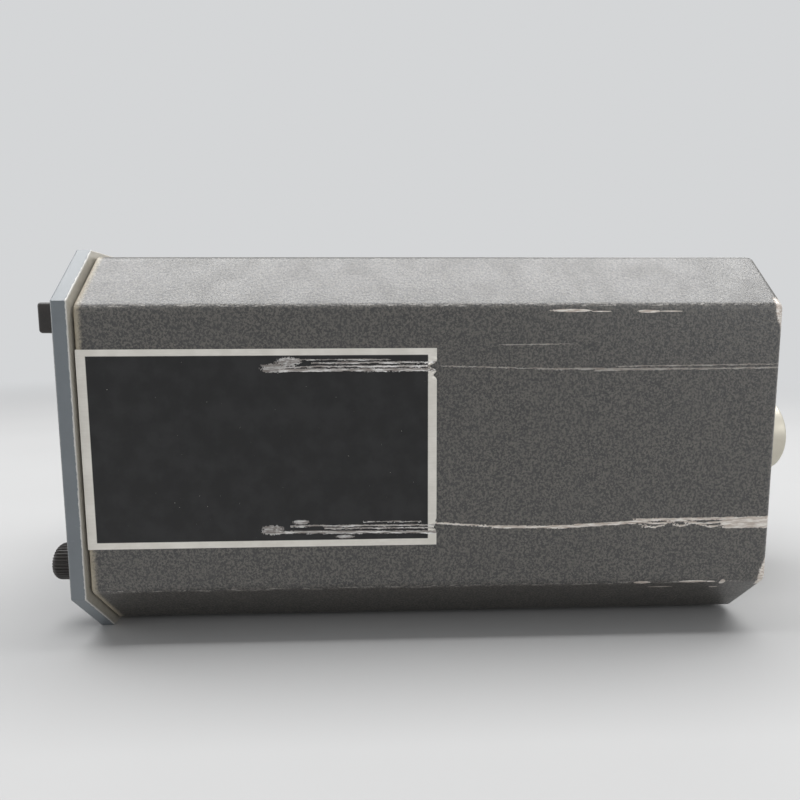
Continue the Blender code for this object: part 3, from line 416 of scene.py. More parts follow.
def plate_foil():
    """Thin bare foil with a neutral field: scrapes through the field, dull handling marks, stray nicks."""
    tree = Tree("data_plate_foil", Specular_IOR_Level=0.35)
    shades = colours()
    place = tree.place()
    along, across = tree.split(place)[1:]
    ragged = tree.noise(place, 2.4, 3.0, 0.7) - 0.5
    streak = tree.noise(tree.stretched(place, (1, 0.09, 1)), 3.4, 3.0, 0.65) - 0.5
    clouds = tree.noise(place, 0.2, 3.0, 0.6)
    start, end = [(value - FRONT_Y) / MM for value in (low("data_plate").y, high("data_plate").y)]
    foot, top = [(value - CENTRE_Z) / MM for value in (low("data_plate").z, high("data_plate").z)]
    border = sizes().plate_border / MM
    inside = tree.step(along, start + border + 0.2, start + border + 0.35)
    inside = inside * tree.step(along, end - border - 0.1, end - border - 0.25)
    inside = inside * tree.step(across, foot + border - 0.3, foot + border - 0.15)
    inside = inside * tree.step(across, top - border + 0.35, top - border + 0.2)

    lines = (
        ((43.5, 16.5), (76, 16.5), 0.62),
        ((44, 17.1), (60, 17.3), 0.3),
        ((50, 17.9), (76, 18.0), 0.34),
        ((60, 17.2), (76, 17.25), 0.4),
        ((46, 18.6), (66, 18.55), 0.2),
        ((42, -16.9), (76, -17.3), 0.62),
        ((45, -15.6), (76, -15.8), 0.34),
        ((52, -16.2), (76, -16.35), 0.3),
        ((60, -14.9), (72, -15.0), 0.16),
    )
    torn = across + streak * 0.7 + ragged * 0.5
    scraped = tree.most(*[stroke(along, torn, *line) for line in lines])
    spots = (
        ((42.6, 16.9), 2.6, 0.9),
        ((45.6, 18.2), 2.4, 1.0),
        ((41.4, -16.4), 2.2, 1.0),
        ((47.2, -14.8), 1.6, 0.5),
        ((56.2, -18.0), 1.8, 0.4),
    )
    patch = tree.most(*[chip(along, across, ragged * 3 + streak * 2, *spot) for spot in spots])
    nicks = tree.step(tree.noise(place, 1.3, 3.0, 0.75), 0.735, 0.76)
    bare = tree.most(1 - inside, scraped, patch * 0.75, nicks * 0.8)

    field = tree.mix(tree.step(clouds, 0.35, 0.7), shades.plate_field, (0.022, 0.022, 0.023))
    foil = tree.mix(tree.step(clouds + streak * 0.4, 0.3, 0.75), shades.plate_metal, (0.84, 0.81, 0.75))
    bright = tree.mix(tree.step(streak, -0.1, 0.2), (0.3, 0.27, 0.25), (0.95, 0.94, 0.92))
    foil = tree.mix(tree.most(scraped, patch), foil, bright)
    tone = tree.mix(bare, field, foil)
    roughness = 0.32 + bare * 0.1 + clouds * 0.08
    shape = tree.bump(bare + streak * scraped + ragged * patch * 1.5, 0.05 * MM, 0.8)
    return tree.finish(tone, roughness, bare * 0.45, shape)


def moulded_black(name, roughness=0.42):
    """Black thermoset moulding with a brown cast, fine pits and finger wear."""
    tree = Tree(name, Specular_IOR_Level=0.45)
    place = tree.place()
    worn = tree.noise(place, 0.5, 3.0, 0.6)
    pits = tree.noise(place, 6.0, 2.0, 0.6)
    dust = tree.step(tree.noise(place, 3.1, 2.0, 0.7), 0.66, 0.76)
    tone = tree.mix(worn, colours().moulding, (0.034, 0.028, 0.024))
    tone = tree.mix(dust * 0.35, tone, (0.14, 0.13, 0.115))
    return tree.finish(tone, worn * 0.16 + roughness - 0.06, None, tree.bump(pits, 0.02 * MM, 0.5))


def plated_metal(name, shade, roughness, brushed=(1, 1, 1)):
    """Plated or bare metal: dull clouds, fine tool lines and darker stains."""
    tree = Tree(name, metallic=1.0)
    place = tree.place()
    clouds = tree.noise(place, 0.35, 3.0, 0.6)
    lines = tree.noise(tree.stretched(place, brushed), 3.0, 3.0, 0.6)
    stains = tree.step(tree.noise(place, 0.9, 3.0, 0.7), 0.6, 0.75)
    dark = tuple(value * 0.62 for value in shade)
    tone = tree.mix(clouds * 0.4 + lines * 0.2, shade, dark)
    tone = tree.mix(stains * 0.3, tone, (0.3, 0.25, 0.17))
    polish = clouds * 0.14 + lines * 0.08 + roughness - 0.1
    return tree.finish(tone, polish, None, tree.bump(lines, 0.012 * MM, 0.5))


def receptacle_plating():
    """Cream-toned satin plating: mostly diffuse bloom over metal, with handling marks."""
    tree = Tree("receptacle_plating")
    place = tree.place()
    clouds = tree.noise(place, 0.3, 3.0, 0.6)
    rings = tree.noise(tree.stretched(place, (0.15, 3, 0.15)), 2.5, 3.0, 0.6)
    marks = tree.step(tree.noise(place, 1.6, 3.0, 0.75), 0.66, 0.74)
    tone = tree.mix(clouds * 0.7, (0.74, 0.7, 0.6), (0.56, 0.52, 0.43))
    tone = tree.mix(marks * 0.3, tone, (0.28, 0.25, 0.2))
    return tree.finish(tone, clouds * 0.15 + rings * 0.08 + 0.3, 0.55, tree.bump(rings, 0.012 * MM, 0.5))


def rubber():
    """Black rubber of the two seals, with a faint pale bloom."""
    tree = Tree("seal_rubber", roughness=0.75, Specular_IOR_Level=0.3)
    place = tree.place()
    bloom = tree.noise(place, 0.8, 3.0, 0.6)
    tone = tree.mix(bloom, (0.018, 0.018, 0.018), (0.05, 0.05, 0.048))
    return tree.finish(tone, bloom * 0.15 + 0.65, None, tree.bump(tree.noise(place, 5.0), 0.03 * MM, 0.5))


def insert_and_pins():
    """A dark moulded insert; what stands proud of its face is gold-plated contact."""
    tree = Tree("insert_and_contacts")
    place = tree.place()
    along = tree.split(place)[1]
    contact_length = 7.5
    face = (high("receptacle_insert").y - FRONT_Y) / MM - contact_length
    pin = tree.step(along, face + 0.05, face + 0.12)
    clouds = tree.noise(place, 0.9, 3.0, 0.6)
    body = tree.mix(clouds, (0.012, 0.03, 0.018), (0.03, 0.055, 0.035))
    gold = tree.mix(clouds, (0.85, 0.6, 0.25), (0.62, 0.4, 0.16))
    return tree.finish(tree.mix(pin, body, gold), 0.55 - pin * 0.3, pin, tree.bump(clouds, 0.02 * MM, 0.4))


def filter_plastic():
    """Dark filter sheet in front of the digits; light from behind shows through it dimly."""
    tree = Tree("filter_sheet", roughness=0.12, IOR=1.49, Alpha=0.38)
    place = tree.place()
    haze = tree.noise(place, 0.25, 3.0, 0.6)
    wipes = tree.noise(tree.stretched(place, (0.2, 1, 2)), 1.8, 3.0, 0.7)
    tone = tree.mix(haze, (0.012, 0.008, 0.009), (0.022, 0.014, 0.015))
    return tree.finish(tone, haze * 0.06 + tree.step(wipes, 0.55, 0.8) * 0.1 + 0.08)


def lamp_lens(name, shade):
    """Unlit coloured lens with a fine prismatic grain."""
    tree = Tree(name, roughness=0.25, IOR=1.49, Coat_Weight=0.4)
    place = tree.place()
    depth = tree.noise(place, 0.7, 2.0, 0.5)
    deep = tuple(value * 0.45 for value in shade)
    bands = {"wave_type": "BANDS", "bands_direction": "X"}
    ribs = tree.add("ShaderNodeTexWave", bands, {"Vector": place, "Scale": 0.9})
    return tree.finish(tree.mix(depth, shade, deep), depth * 0.1 + 0.18, None, tree.bump(ribs, 0.04 * MM, 0.4))


def laminate():
    """Green solder mask over a glass weave, with lighter tracks beneath it."""
    tree = Tree("board_laminate", Specular_IOR_Level=0.5, Coat_Weight=0.3)
    place = tree.place()
    across = tree.split(place)[2]
    weave = tree.add("ShaderNodeTexBrick", {"offset": 0.5}, {"Vector": place, "Scale": 1.2})
    tracks = tree.step(abs((across * 0.5).math("FRACT") - 0.5), 0.16, 0.12)
    tracks = tracks * tree.step(tree.noise(tree.stretched(place, (1, 0.1, 1)), 0.9), 0.46, 0.5)
    tone = tree.mix(tree.noise(place, 0.5), (0.018, 0.085, 0.03), (0.03, 0.12, 0.045))
    tone = tree.mix(tracks * 0.7, tone, (0.09, 0.24, 0.09))
    return tree.finish(tone, 0.32 + tracks * 0.08, None, tree.bump(tracks + weave * 0.2, 0.03 * MM, 0.4))


def varnished(name, light, dark, roughness):
    """A coated inner part: clouds between two tones and a faint grain."""
    tree = Tree(name, Specular_IOR_Level=0.5)
    place = tree.place()
    clouds = tree.noise(place, 0.4, 3.0, 0.6)
    grain = tree.noise(tree.stretched(place, (3, 0.3, 3)), 2.0, 2.0, 0.6)
    tone = tree.mix(clouds * 0.7 + grain * 0.3, light, dark)
    return tree.finish(tone, clouds * 0.15 + roughness, None, tree.bump(grain, 0.03 * MM, 0.4))


# Shapes.
def put_mesh(name, corners, faces, smooth=True):
    """A mesh object at the origin from arrays of corners and quads."""
    mesh = bpy.data.meshes.new(name)
    mesh.vertices.add(len(corners))
    mesh.vertices.foreach_set("co", np.asarray(corners, np.float32).ravel())
    flat = np.asarray(faces, np.int32)
    mesh.loops.add(flat.size)
    mesh.loops.foreach_set("vertex_index", flat.ravel())
    mesh.polygons.add(len(flat))
    mesh.polygons.foreach_set("loop_start", np.arange(len(flat), dtype=np.int32) * flat.shape[1])
    mesh.polygons.foreach_set("use_smooth", np.full(len(flat), smooth))
    mesh.update(calc_edges=True)
    mesh.validate()
    piece = bpy.data.objects.new(name, mesh)
    bpy.context.scene.collection.objects.link(piece)
    return piece


def grid_faces(rows, columns, wrap):
    """Quads of a grid of points numbered row by row; wrap joins the last column to the first."""
    spans = columns if wrap else columns - 1
    row, column = np.meshgrid(np.arange(rows - 1), np.arange(spans), indexing="ij")
    after = (column + 1) % columns
    start = row * columns
    above = start + columns
    quads = np.stack([start + column, above + column, above + after, start + after], axis=-1)
    return quads.reshape(-1, 4)


def swept(name, outline, insets, levels, centre):
    """A closed body: the outline, moved inwards by each inset, stands at each level along Y.

    outline gives points and outward directions in the X-Z plane, anticlockwise seen from the front. The
    first and last rings are closed by a fan to their own middle.
    """
    points, outward = outline
    rings = points[None, :, :] - outward[None, :, :] * np.asarray(insets)[:, None, None]
    rows, columns = rings.shape[:2]
    corners = np.empty((rows, columns, 3))
    corners[..., 0] = rings[..., 0] + centre[0]
    corners[..., 1] = np.asarray(levels)[:, None]
    corners[..., 2] = rings[..., 1] + centre[1]
    first, last = corners[0].mean(axis=0), corners[-1].mean(axis=0)
    start = np.repeat(first[None, None, :], columns, axis=1)
    end = np.repeat(last[None, None, :], columns, axis=1)
    corners = np.concatenate([start, corners, end])
    piece = put_mesh(name, corners.reshape(-1, 3), grid_faces(rows + 2, columns, True))
    tidy_surface(piece)
    return piece


def tidy_surface(piece, angle=35):
    """Merge the points at poles and seams, point the faces outwards and keep sharp edges sharp."""
    shape = bmesh.new()
    shape.from_mesh(piece.data)
    bmesh.ops.remove_doubles(shape, verts=shape.verts, dist=1e-7)
    bmesh.ops.dissolve_degenerate(shape, edges=shape.edges, dist=1e-8)
    bmesh.ops.recalc_face_normals(shape, faces=shape.faces)
    shape.to_mesh(piece.data)
    shape.free()
    piece.data.set_sharp_from_angle(angle=math.radians(angle))


def rounded_outline(corners, radius, arc_steps, side_steps=1):
    """Points and outward directions round a convex polygon whose corners are arcs of one radius.

    Each arc turns from one side's normal to the next side's about a centre that lies one radius inside
    both sides; straight sides get evenly spaced points between the arcs.
    """
    corners = np.asarray(corners, float)
    after = np.roll(corners, -1, axis=0)
    side = after - corners
    side /= np.linalg.norm(side, axis=1)[:, None]
    normal = np.stack([side[:, 1], -side[:, 0]], axis=1)
    before = np.roll(normal, 1, axis=0)
    bisector = before + normal
    bisector /= (1 + (before * normal).sum(axis=1))[:, None]
    centres = corners - bisector * radius
    first = np.arctan2(before[:, 1], before[:, 0])
    turn = np.arctan2(before[:, 0] * normal[:, 1] - before[:, 1] * normal[:, 0], (before * normal).sum(axis=1))
    share = np.linspace(0, 1, arc_steps + 1)
    angles = first[:, None] + turn[:, None] * share[None, :]
    outward = np.stack([np.cos(angles), np.sin(angles)], axis=-1)
    points = centres[:, None, :] + outward * radius
    between = np.linspace(0, 1, side_steps + 1)[1:-1]
    ends = np.roll(points[:, 0], -1, axis=0)
    straight = points[:, -1][:, None, :] + (ends - points[:, -1])[:, None, :] * between[None, :, None]
    straight_out = np.repeat(normal[:, None, :], len(between), axis=1)
    all_points = np.concatenate([points, straight], axis=1).reshape(-1, 2)
    all_outward = np.concatenate([outward, straight_out], axis=1).reshape(-1, 2)
    return all_points, all_outward


def chamfered_corners(width, height, chamfer):
    """Corners of a rectangle with its own corners cut at 45 degrees, anticlockwise in X-Z."""
    x, z = width / 2, height / 2
    quarter = np.array([[x - chamfer, -z], [x, chamfer - z], [x, z - chamfer], [x - chamfer, z]])
    return np.concatenate([quarter, -quarter])


def quarter_turn(radius, steps):
    """Inset and advance along a rounded edge, from the flat side to the end face."""
    turn = np.linspace(0, math.pi / 2, steps)
    return radius * (1 - np.cos(turn)), radius * np.sin(turn)


def revolved(name, profile, centre, columns=128, ripple=None):
    """A body of revolution about Y through centre (x, z).

    profile is (radius, y) points along the surface; ripple(angle, profile) gives an added radius.
    """
    profile = np.asarray(profile, float)
    angle = np.linspace(0, 2 * math.pi, columns, endpoint=False)
    radius = np.repeat(profile[:, :1], columns, axis=1)
    if ripple:
        radius = radius + ripple(angle[None, :], profile)
    corners = np.empty((*radius.shape, 3))
    corners[..., 0] = centre[0] + radius * np.cos(angle)
    corners[..., 1] = profile[:, 1:]
    corners[..., 2] = centre[1] + radius * np.sin(angle)
    piece = put_mesh(name, corners.reshape(-1, 3), grid_faces(len(profile), columns, True))
    tidy_surface(piece)
    return piece


def show(piece, finish, body, slot, *replaced):
    """Give a new piece its finish and its body, and hide the nodes that it stands for. The slot argument is not
    used.
    """
    piece.data.materials.clear()
    piece.data.materials.append(finish)
    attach(piece, body)
    if replaced:
        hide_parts(*replaced)


def paint_nodes(finish, *names):
    for name in names:
        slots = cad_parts[name].material_slots
        for index in range(len(slots)):
            slots[index].link = "OBJECT"
            slots[index].material = finish


def starting(prefix):
    return [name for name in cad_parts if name.startswith(prefix)]


class StepOperator(bpy.types.Operator):
    """What every step of the display has in common."""

    bl_options = {"REGISTER", "UNDO"}

    def execute(self, context):
        self.build()
        return {"FINISHED"}


class DISPLAY_OT_case(StepOperator):
    """Model the drawn case with its bends and closed end, and paint it"""

    bl_idname = "display.case"
    bl_label = "Case"

    def build(self):
        plan = sizes()
        near, far = low("case_shell"), high("case_shell")
        corners = chamfered_corners(far.x - near.x, far.z - near.z, plan.case_chamfer)
        outline = rounded_outline(corners, plan.case_bend, 8, 12)
        end_inset, end_advance = quarter_turn(plan.case_end_radius, 8)
        wall, lip, rings = plan.case_wall, 0.25 * MM, 60
        tube = np.linspace(near.y + lip, far.y - plan.case_end_radius, rings)
        rounding = far.y - plan.case_end_radius + end_advance[1:]
        levels = [far.y - wall, near.y + lip, near.y, near.y, *tube, *rounding, far.y]
        insets = [wall, wall, wall - lip, lip, *np.zeros(rings), *end_inset[1:], plan.case_end_radius * 1.3]
        skin = swept("case_skin", outline, insets, levels, (0, CENTRE_Z))
        show(skin, case_paint(), "chassis", "case_paint", "case_shell")


class DISPLAY_OT_data_plate(StepOperator):
    """Model the foil data plate with its torn, crumpled edge, and leave its field blank"""

    bl_idname = "display.data_plate"
    bl_label = "Data plate"

    def build(self):
        near, far = low("data_plate"), high("data_plate")
        rows, columns = 140, 246
        z = np.linspace(near.z, far.z, rows)[:, None]
        y = np.linspace(near.y, far.y, columns)[None, :]
        along = (y - FRONT_Y) / MM + 0 * z
        across = (z - CENTRE_Z) / MM + 0 * y
        lift = self.folds(along, across)
        notch = self.tears(across, along)
        outer = np.empty((rows, columns, 3))
        outer[..., 0] = far.x + lift * sizes().crumple
        outer[..., 1] = y - notch * MM
        outer[..., 2] = z
        inner = outer.copy()
        inner[..., 0] = near.x
        count = rows * columns
        corners = np.concatenate([outer.reshape(-1, 3), inner.reshape(-1, 3)])
        front = grid_faces(rows, columns, False)
        back = front[:, ::-1] + count
        index = np.arange(count).reshape(rows, columns)
        loop = np.concatenate([index[0, :], index[1:, -1], index[-1, -2::-1], index[-2:0:-1, 0]])
        after = np.roll(loop, -1)
        sides = np.stack([loop, loop + count, after + count, after], axis=1)
        plate = put_mesh("data_plate_skin", corners, np.concatenate([front, back, sides]))
        tidy_surface(plate, 50)
        show(plate, plate_foil(), "chassis", "plate_foil", "data_plate")

    def folds(self, along, across):
        """Height of the foil: a trough between two ridges at each scrape, and creases at both its ends.

        Ridges and troughs are Gaussians across the scrape; creases are products of sines that fade out.
        """
        height = np.zeros_like(along)
        for level, tilt, start in ((16.6, 0.0, 42), (-16.9, -0.012, 40)):
            offset = across - level - tilt * (along - start)
            reach = np.clip((along - start) / 3, 0, 1)
            height += 0.28 * reach * np.exp(-((offset - 0.55) / 0.28) ** 2)
            height -= 0.3 * reach * np.exp(-(offset / 0.35) ** 2)
            height += 0.2 * reach * np.exp(-((offset + 0.6) / 0.3) ** 2) * (0.6 + 0.4 * np.sin(along * 2.1))
        creases = ((74.6, 17.6, 1.0), (74.4, 15.6, 0.8), (75.0, -16.4, 0.7))
        creases += ((45, 17.6, 0.5), (42.5, -16.2, 0.45))
        for centre, level, size in creases:
            near = np.exp(-(((along - centre) / 2.0) ** 2 + ((across - level) / 1.5) ** 2))
            crease = np.sin(along * 3.3 + across * 2.2) * np.sin(across * 4.1 - along * 1.3)
            height += size * near * (0.55 + 0.75 * crease)
        return np.clip(height, -0.35, 1.6)

    def tears(self, across, along):
        """How far the trailing edge is drawn in, in millimetres: two notches, fading to nothing 3 mm in."""
        fade = np.clip((along - along.max() + 3) / 3, 0, 1)
        upper = 1.5 * np.exp(-(((across - 17.2) / 0.55) ** 2)) + 0.7 * np.exp(-(((across - 15.4) / 0.5) ** 2))
        lower = 0.6 * np.exp(-(((across + 16.2) / 0.6) ** 2)) + 0.25 * np.exp(-(((across + 14.9) / 0.3) ** 2))
        return fade * (upper + lower)


class DISPLAY_OT_bezel(StepOperator):
    """Paint the bezel"""

    bl_idname = "display.bezel"
    bl_label = "Bezel"

    def build(self):
        paint_nodes(bezel_paint(), "bezel")


class DISPLAY_OT_window(StepOperator):
    """Finish the filter, and give each numeric module its unlit segments"""

    bl_idname = "display.window"
    bl_label = "Window and digits"

    def build(self):
        paint_nodes(filter_plastic(), "display_lens")
        modules = sorted(starting("digit_"))
        paint_nodes(varnished("digit_body", (0.02, 0.016, 0.016), (0.035, 0.028, 0.028), 0.35), *modules)
        unlit = varnished("unlit_segment", (0.55, 0.2, 0.15), (0.42, 0.14, 0.11), 0.3)
        for name in modules:
            piece = self.segments(name)
            show(piece, unlit, "chassis", "digit_module")

    def segments(self, name):
        """Seven flat hexagons on a module's face: a long one for each bar, turned upright at the sides."""
        near, far = low(name), high(name)
        centre = (near + far) / 2
        wide, tall = (far.x - near.x) * 0.26, (far.z - near.z) * 0.34
        half, tip = 0.55 * MM, 0.5 * MM
        bars = []
        for x, z, length, upright in (
            (0, 1, wide, False), (0, 0, wide, False), (0, -1, wide, False),
            (-1, 0.5, tall / 2, True), (1, 0.5, tall / 2, True),
            (-1, -0.5, tall / 2, True), (1, -0.5, tall / 2, True),
        ):
            reach = length - 0.25 * MM
            inner = reach - tip
            below, above = [(-inner, -half), (inner, -half)], [(inner, half), (-inner, half)]
            bar = np.array([(-reach, 0), *below, (reach, 0), *above])
            bar = bar[:, ::-1] * (-1, 1) if upright else bar
            bars.append(bar + (x * wide, z * tall))
        flat = np.concatenate(bars)
        lean = flat[:, 1] * 0.12
        level = np.full(len(flat), near.y - 0.1 * MM)
        front = np.stack([centre.x + flat[:, 0] + lean, level, centre.z + flat[:, 1]], axis=1)
        back = front + (0, 0.08 * MM, 0)
        corners = np.concatenate([front, back])
        first = np.arange(len(bars))[:, None] * 6
        count = len(front)
        faces = []
        for a, b, c, d in ((0, 1, 2, 5), (2, 3, 4, 5)):
            faces.append(np.concatenate([first + a, first + b, first + c, first + d], axis=1))
            faces.append(np.concatenate([first + d, first + c, first + b, first + a], axis=1) + count)
        ring = np.arange(6)
        for a, b in zip(ring, np.roll(ring, -1)):
            faces.append(np.concatenate([first + a, first + a + count, first + b + count, first + b], axis=1))
        piece = put_mesh(f"segments_{name}", corners, np.concatenate(faces), smooth=False)
        tidy_surface(piece)
        return piece


class DISPLAY_OT_annunciators(StepOperator):
    """Finish the three annunciator lenses"""

    bl_idname = "display.annunciators"
    bl_label = "Annunciators"

    def build(self):
        shades = ((0.5, 0.2, 0.03), (0.42, 0.4, 0.34), (0.06, 0.26, 0.1))
        for name, shade in zip(sorted(starting("annunciator_lens")), shades):
            paint_nodes(lamp_lens(f"{name}_plastic", shade), name)


class DISPLAY_OT_button(StepOperator):
    """Model the square push button with rounded edges"""

    bl_idname = "display.button"
    bl_label = "Push button"

    def build(self):
        near, far = low("button_cap"), high("button_cap")
        radius = sizes().button_rounding
        half_x, half_z = (far.x - near.x) / 2, (far.z - near.z) / 2
        corners = [(half_x, -half_z), (half_x, half_z), (-half_x, half_z), (-half_x, -half_z)]
        outline = rounded_outline(corners, radius * 1.5, 6, 4)
        inset, advance = quarter_turn(radius, 7)
        foot, rings = 0.2 * MM, 24
        body = np.linspace(near.y + radius, far.y - foot, rings)
        levels = [near.y, *(near.y + radius - advance[::-1]), *body[1:], far.y]
        insets = [radius * 1.3, *inset[::-1], *np.zeros(rings - 1), foot]
        centre = middle("button_cap")
        cap = swept("button_cap_skin", outline, insets, levels, (centre.x, centre.z))
        show(cap, moulded_black("button_moulding", 0.36), "button", "black_plastic", "button_cap")


class DISPLAY_OT_knob(StepOperator):
    """Model the knurled dimmer knob with its rounded front and set-screw hole"""

    bl_idname = "display.knob"
    bl_label = "Dimmer knob"

    def build(self):
        plan = sizes()
        near, far = low("dimmer_knob"), high("dimmer_knob")
        centre = middle("dimmer_shaft")
        radius = (far.z - near.z) / 2
        rounding = plan.knob_rounding
        inset, advance = quarter_turn(rounding, 12)
        flat, dish = radius - rounding, 0.12 * MM
        face = [(share * flat, near.y + dish * (1 - share * share)) for share in (0, 0.3, 0.6, 0.9)]
        edge = list(zip(radius - inset[::-1], near.y + rounding - advance[::-1]))
        side = [(radius, y) for y in np.linspace(near.y + rounding, far.y - 0.35 * MM, 60)[1:]]
        foot = [(radius - 0.3 * MM, far.y), (2.2 * MM, far.y), (2.0 * MM, far.y - 3 * MM), (0, far.y - 3 * MM)]
        profile = np.array(face + edge + side + foot)
        screw = middle("knob_set_screw")

        def ripple(angle, line):
            """Ridges: a flattened cosine round the knob, full on the side and fading over the rounded edge.

            The set-screw hole is a round well in the side, straight down to the screw.
            """
            wave = np.clip(np.cos(angle * plan.knob_ridges) * 1.5, -1, 1)
            on_side = np.clip((line[:, :1] - (radius - rounding)) / rounding, 0, 1) ** 0.5
            on_side = on_side * (line[:, 1:] < far.y - 0.2 * MM)
            cut = (wave - 1) * 0.5 * plan.knob_ridge_depth * on_side
            arc = (angle + math.pi) % (2 * math.pi) - math.pi
            away = np.hypot(arc * radius, line[:, 1:] - screw.y)
            well = (away < 0.95 * MM) & (line[:, :1] > radius * 0.98)
            return np.where(well, -0.9 * MM, cut)

        knob = revolved("dimmer_knob_skin", profile, (centre.x, centre.z), plan.knob_ridges * 14, ripple)
        show(knob, moulded_black("knob_moulding", 0.44), "dimmer", "black_plastic", "dimmer_knob")


class DISPLAY_OT_receptacle(StepOperator):
    """Model the receptacle's barrel and flange, and finish its insert"""

    bl_idname = "display.receptacle"
    bl_label = "Receptacle"

    def build(self):
        plating = receptacle_plating()
        near, far = low("receptacle_shell"), high("receptacle_shell")
        centre = middle("receptacle_insert")
        barrel, socket, bore = 10.1 * MM, 8.9 * MM, 7.9 * MM
        flange_front = high("receptacle_gasket").y + 0.3 * MM
        flange_back = flange_front + 2.2 * MM
        shoulder = high("receptacle_insert").y - 9.0 * MM
        mouth = 0.6 * MM
        outside = [(9 * MM, near.y), (9 * MM, flange_front), (barrel - 0.5 * MM, flange_front + 0.1 * MM)]
        outside += [(barrel - 0.5 * MM, flange_back + 1.6 * MM), (barrel, flange_back + 2.1 * MM)]
        outside += [(barrel, y) for y in np.linspace(flange_back + 2.4 * MM, far.y - mouth, 24)]
        inset, advance = quarter_turn(mouth, 8)
        outside += list(zip(barrel - inset[1:], far.y - mouth + advance[1:]))
        inside = [(socket + 0.25 * MM, far.y), (socket, far.y - 0.3 * MM)]
        inside += [(socket, y) for y in np.linspace(far.y - 1 * MM, shoulder, 10)]
        inside += [(bore, shoulder), (bore, near.y), (9 * MM, near.y)]
        shell = revolved("receptacle_barrel_skin", outside + inside, (centre.x, centre.z), 160)
        show(shell, plating, "chassis", "nickel_plate", "receptacle_shell")

        size = far.x - near.x
        outline = rounded_outline(chamfered_corners(size, size, 2.5 * MM), 0.6 * MM, 4, 6)
        edge = 0.25 * MM
        levels = [flange_front, flange_front + edge, flange_back - edge, flange_back]
        flange = swept("receptacle_flange_skin", outline, [edge, 0, 0, edge], levels, (centre.x, centre.z))
        show(flange, plating, "chassis", "nickel_plate", "receptacle_shell")
        paint_nodes(insert_and_pins(), "receptacle_insert")


class DISPLAY_OT_hardware(StepOperator):
    """Finish the screws, nuts, shafts, seals and chassis"""

    bl_idname = "display.hardware"
    bl_label = "Hardware and chassis"

    def build(self):
        steel = plated_metal("screw_plating", tuple(colours().nickel), 0.34)
        for prefix in ("case_screw", "receptacle_screw", "bezel_screw", "knob_set_screw", "dimmer_shaft"):
            paint_nodes(steel, *starting(prefix))
        paint_nodes(steel, "button_stem", "button_switch_nut", "dimmer_control_nut")
        sheet = plated_metal("chassis_aluminium", (0.6, 0.59, 0.56), 0.42, (1, 0.2, 1))
        paint_nodes(sheet, "front_frame", "side_rail_left", "side_rail_right", "rear_plate", "heat_sink")
        paint_nodes(rubber(), "lens_gasket", "receptacle_gasket")


class DISPLAY_OT_electronics(StepOperator):
    """Finish the boards, switch, dimmer, chips, transformer, capacitors and wiring"""

    bl_idname = "display.electronics"
    bl_label = "Electronics"

    def build(self):
        paint_nodes(laminate(), "display_board", "logic_board", "power_board")
        black = moulded_black("component_moulding")
        paint_nodes(black, "button_switch", "dimmer_control", "annunciator_block", *starting("logic_chip"))
        paint_nodes(varnished("transformer_varnish", (0.3, 0.17, 0.05), (0.14, 0.08, 0.03), 0.3), "transformer")
        blue = varnished("capacitor_sleeve", (0.03, 0.08, 0.26), (0.02, 0.05, 0.18), 0.25)
        paint_nodes(blue, *starting("filter_capacitor"))
        paint_nodes(varnished("wire_jacket", (0.66, 0.65, 0.6), (0.5, 0.49, 0.44), 0.4), "wire_bundle")
        paint_nodes(varnished("ribbon_jacket", (0.42, 0.42, 0.44), (0.3, 0.3, 0.32), 0.4), "display_ribbon")


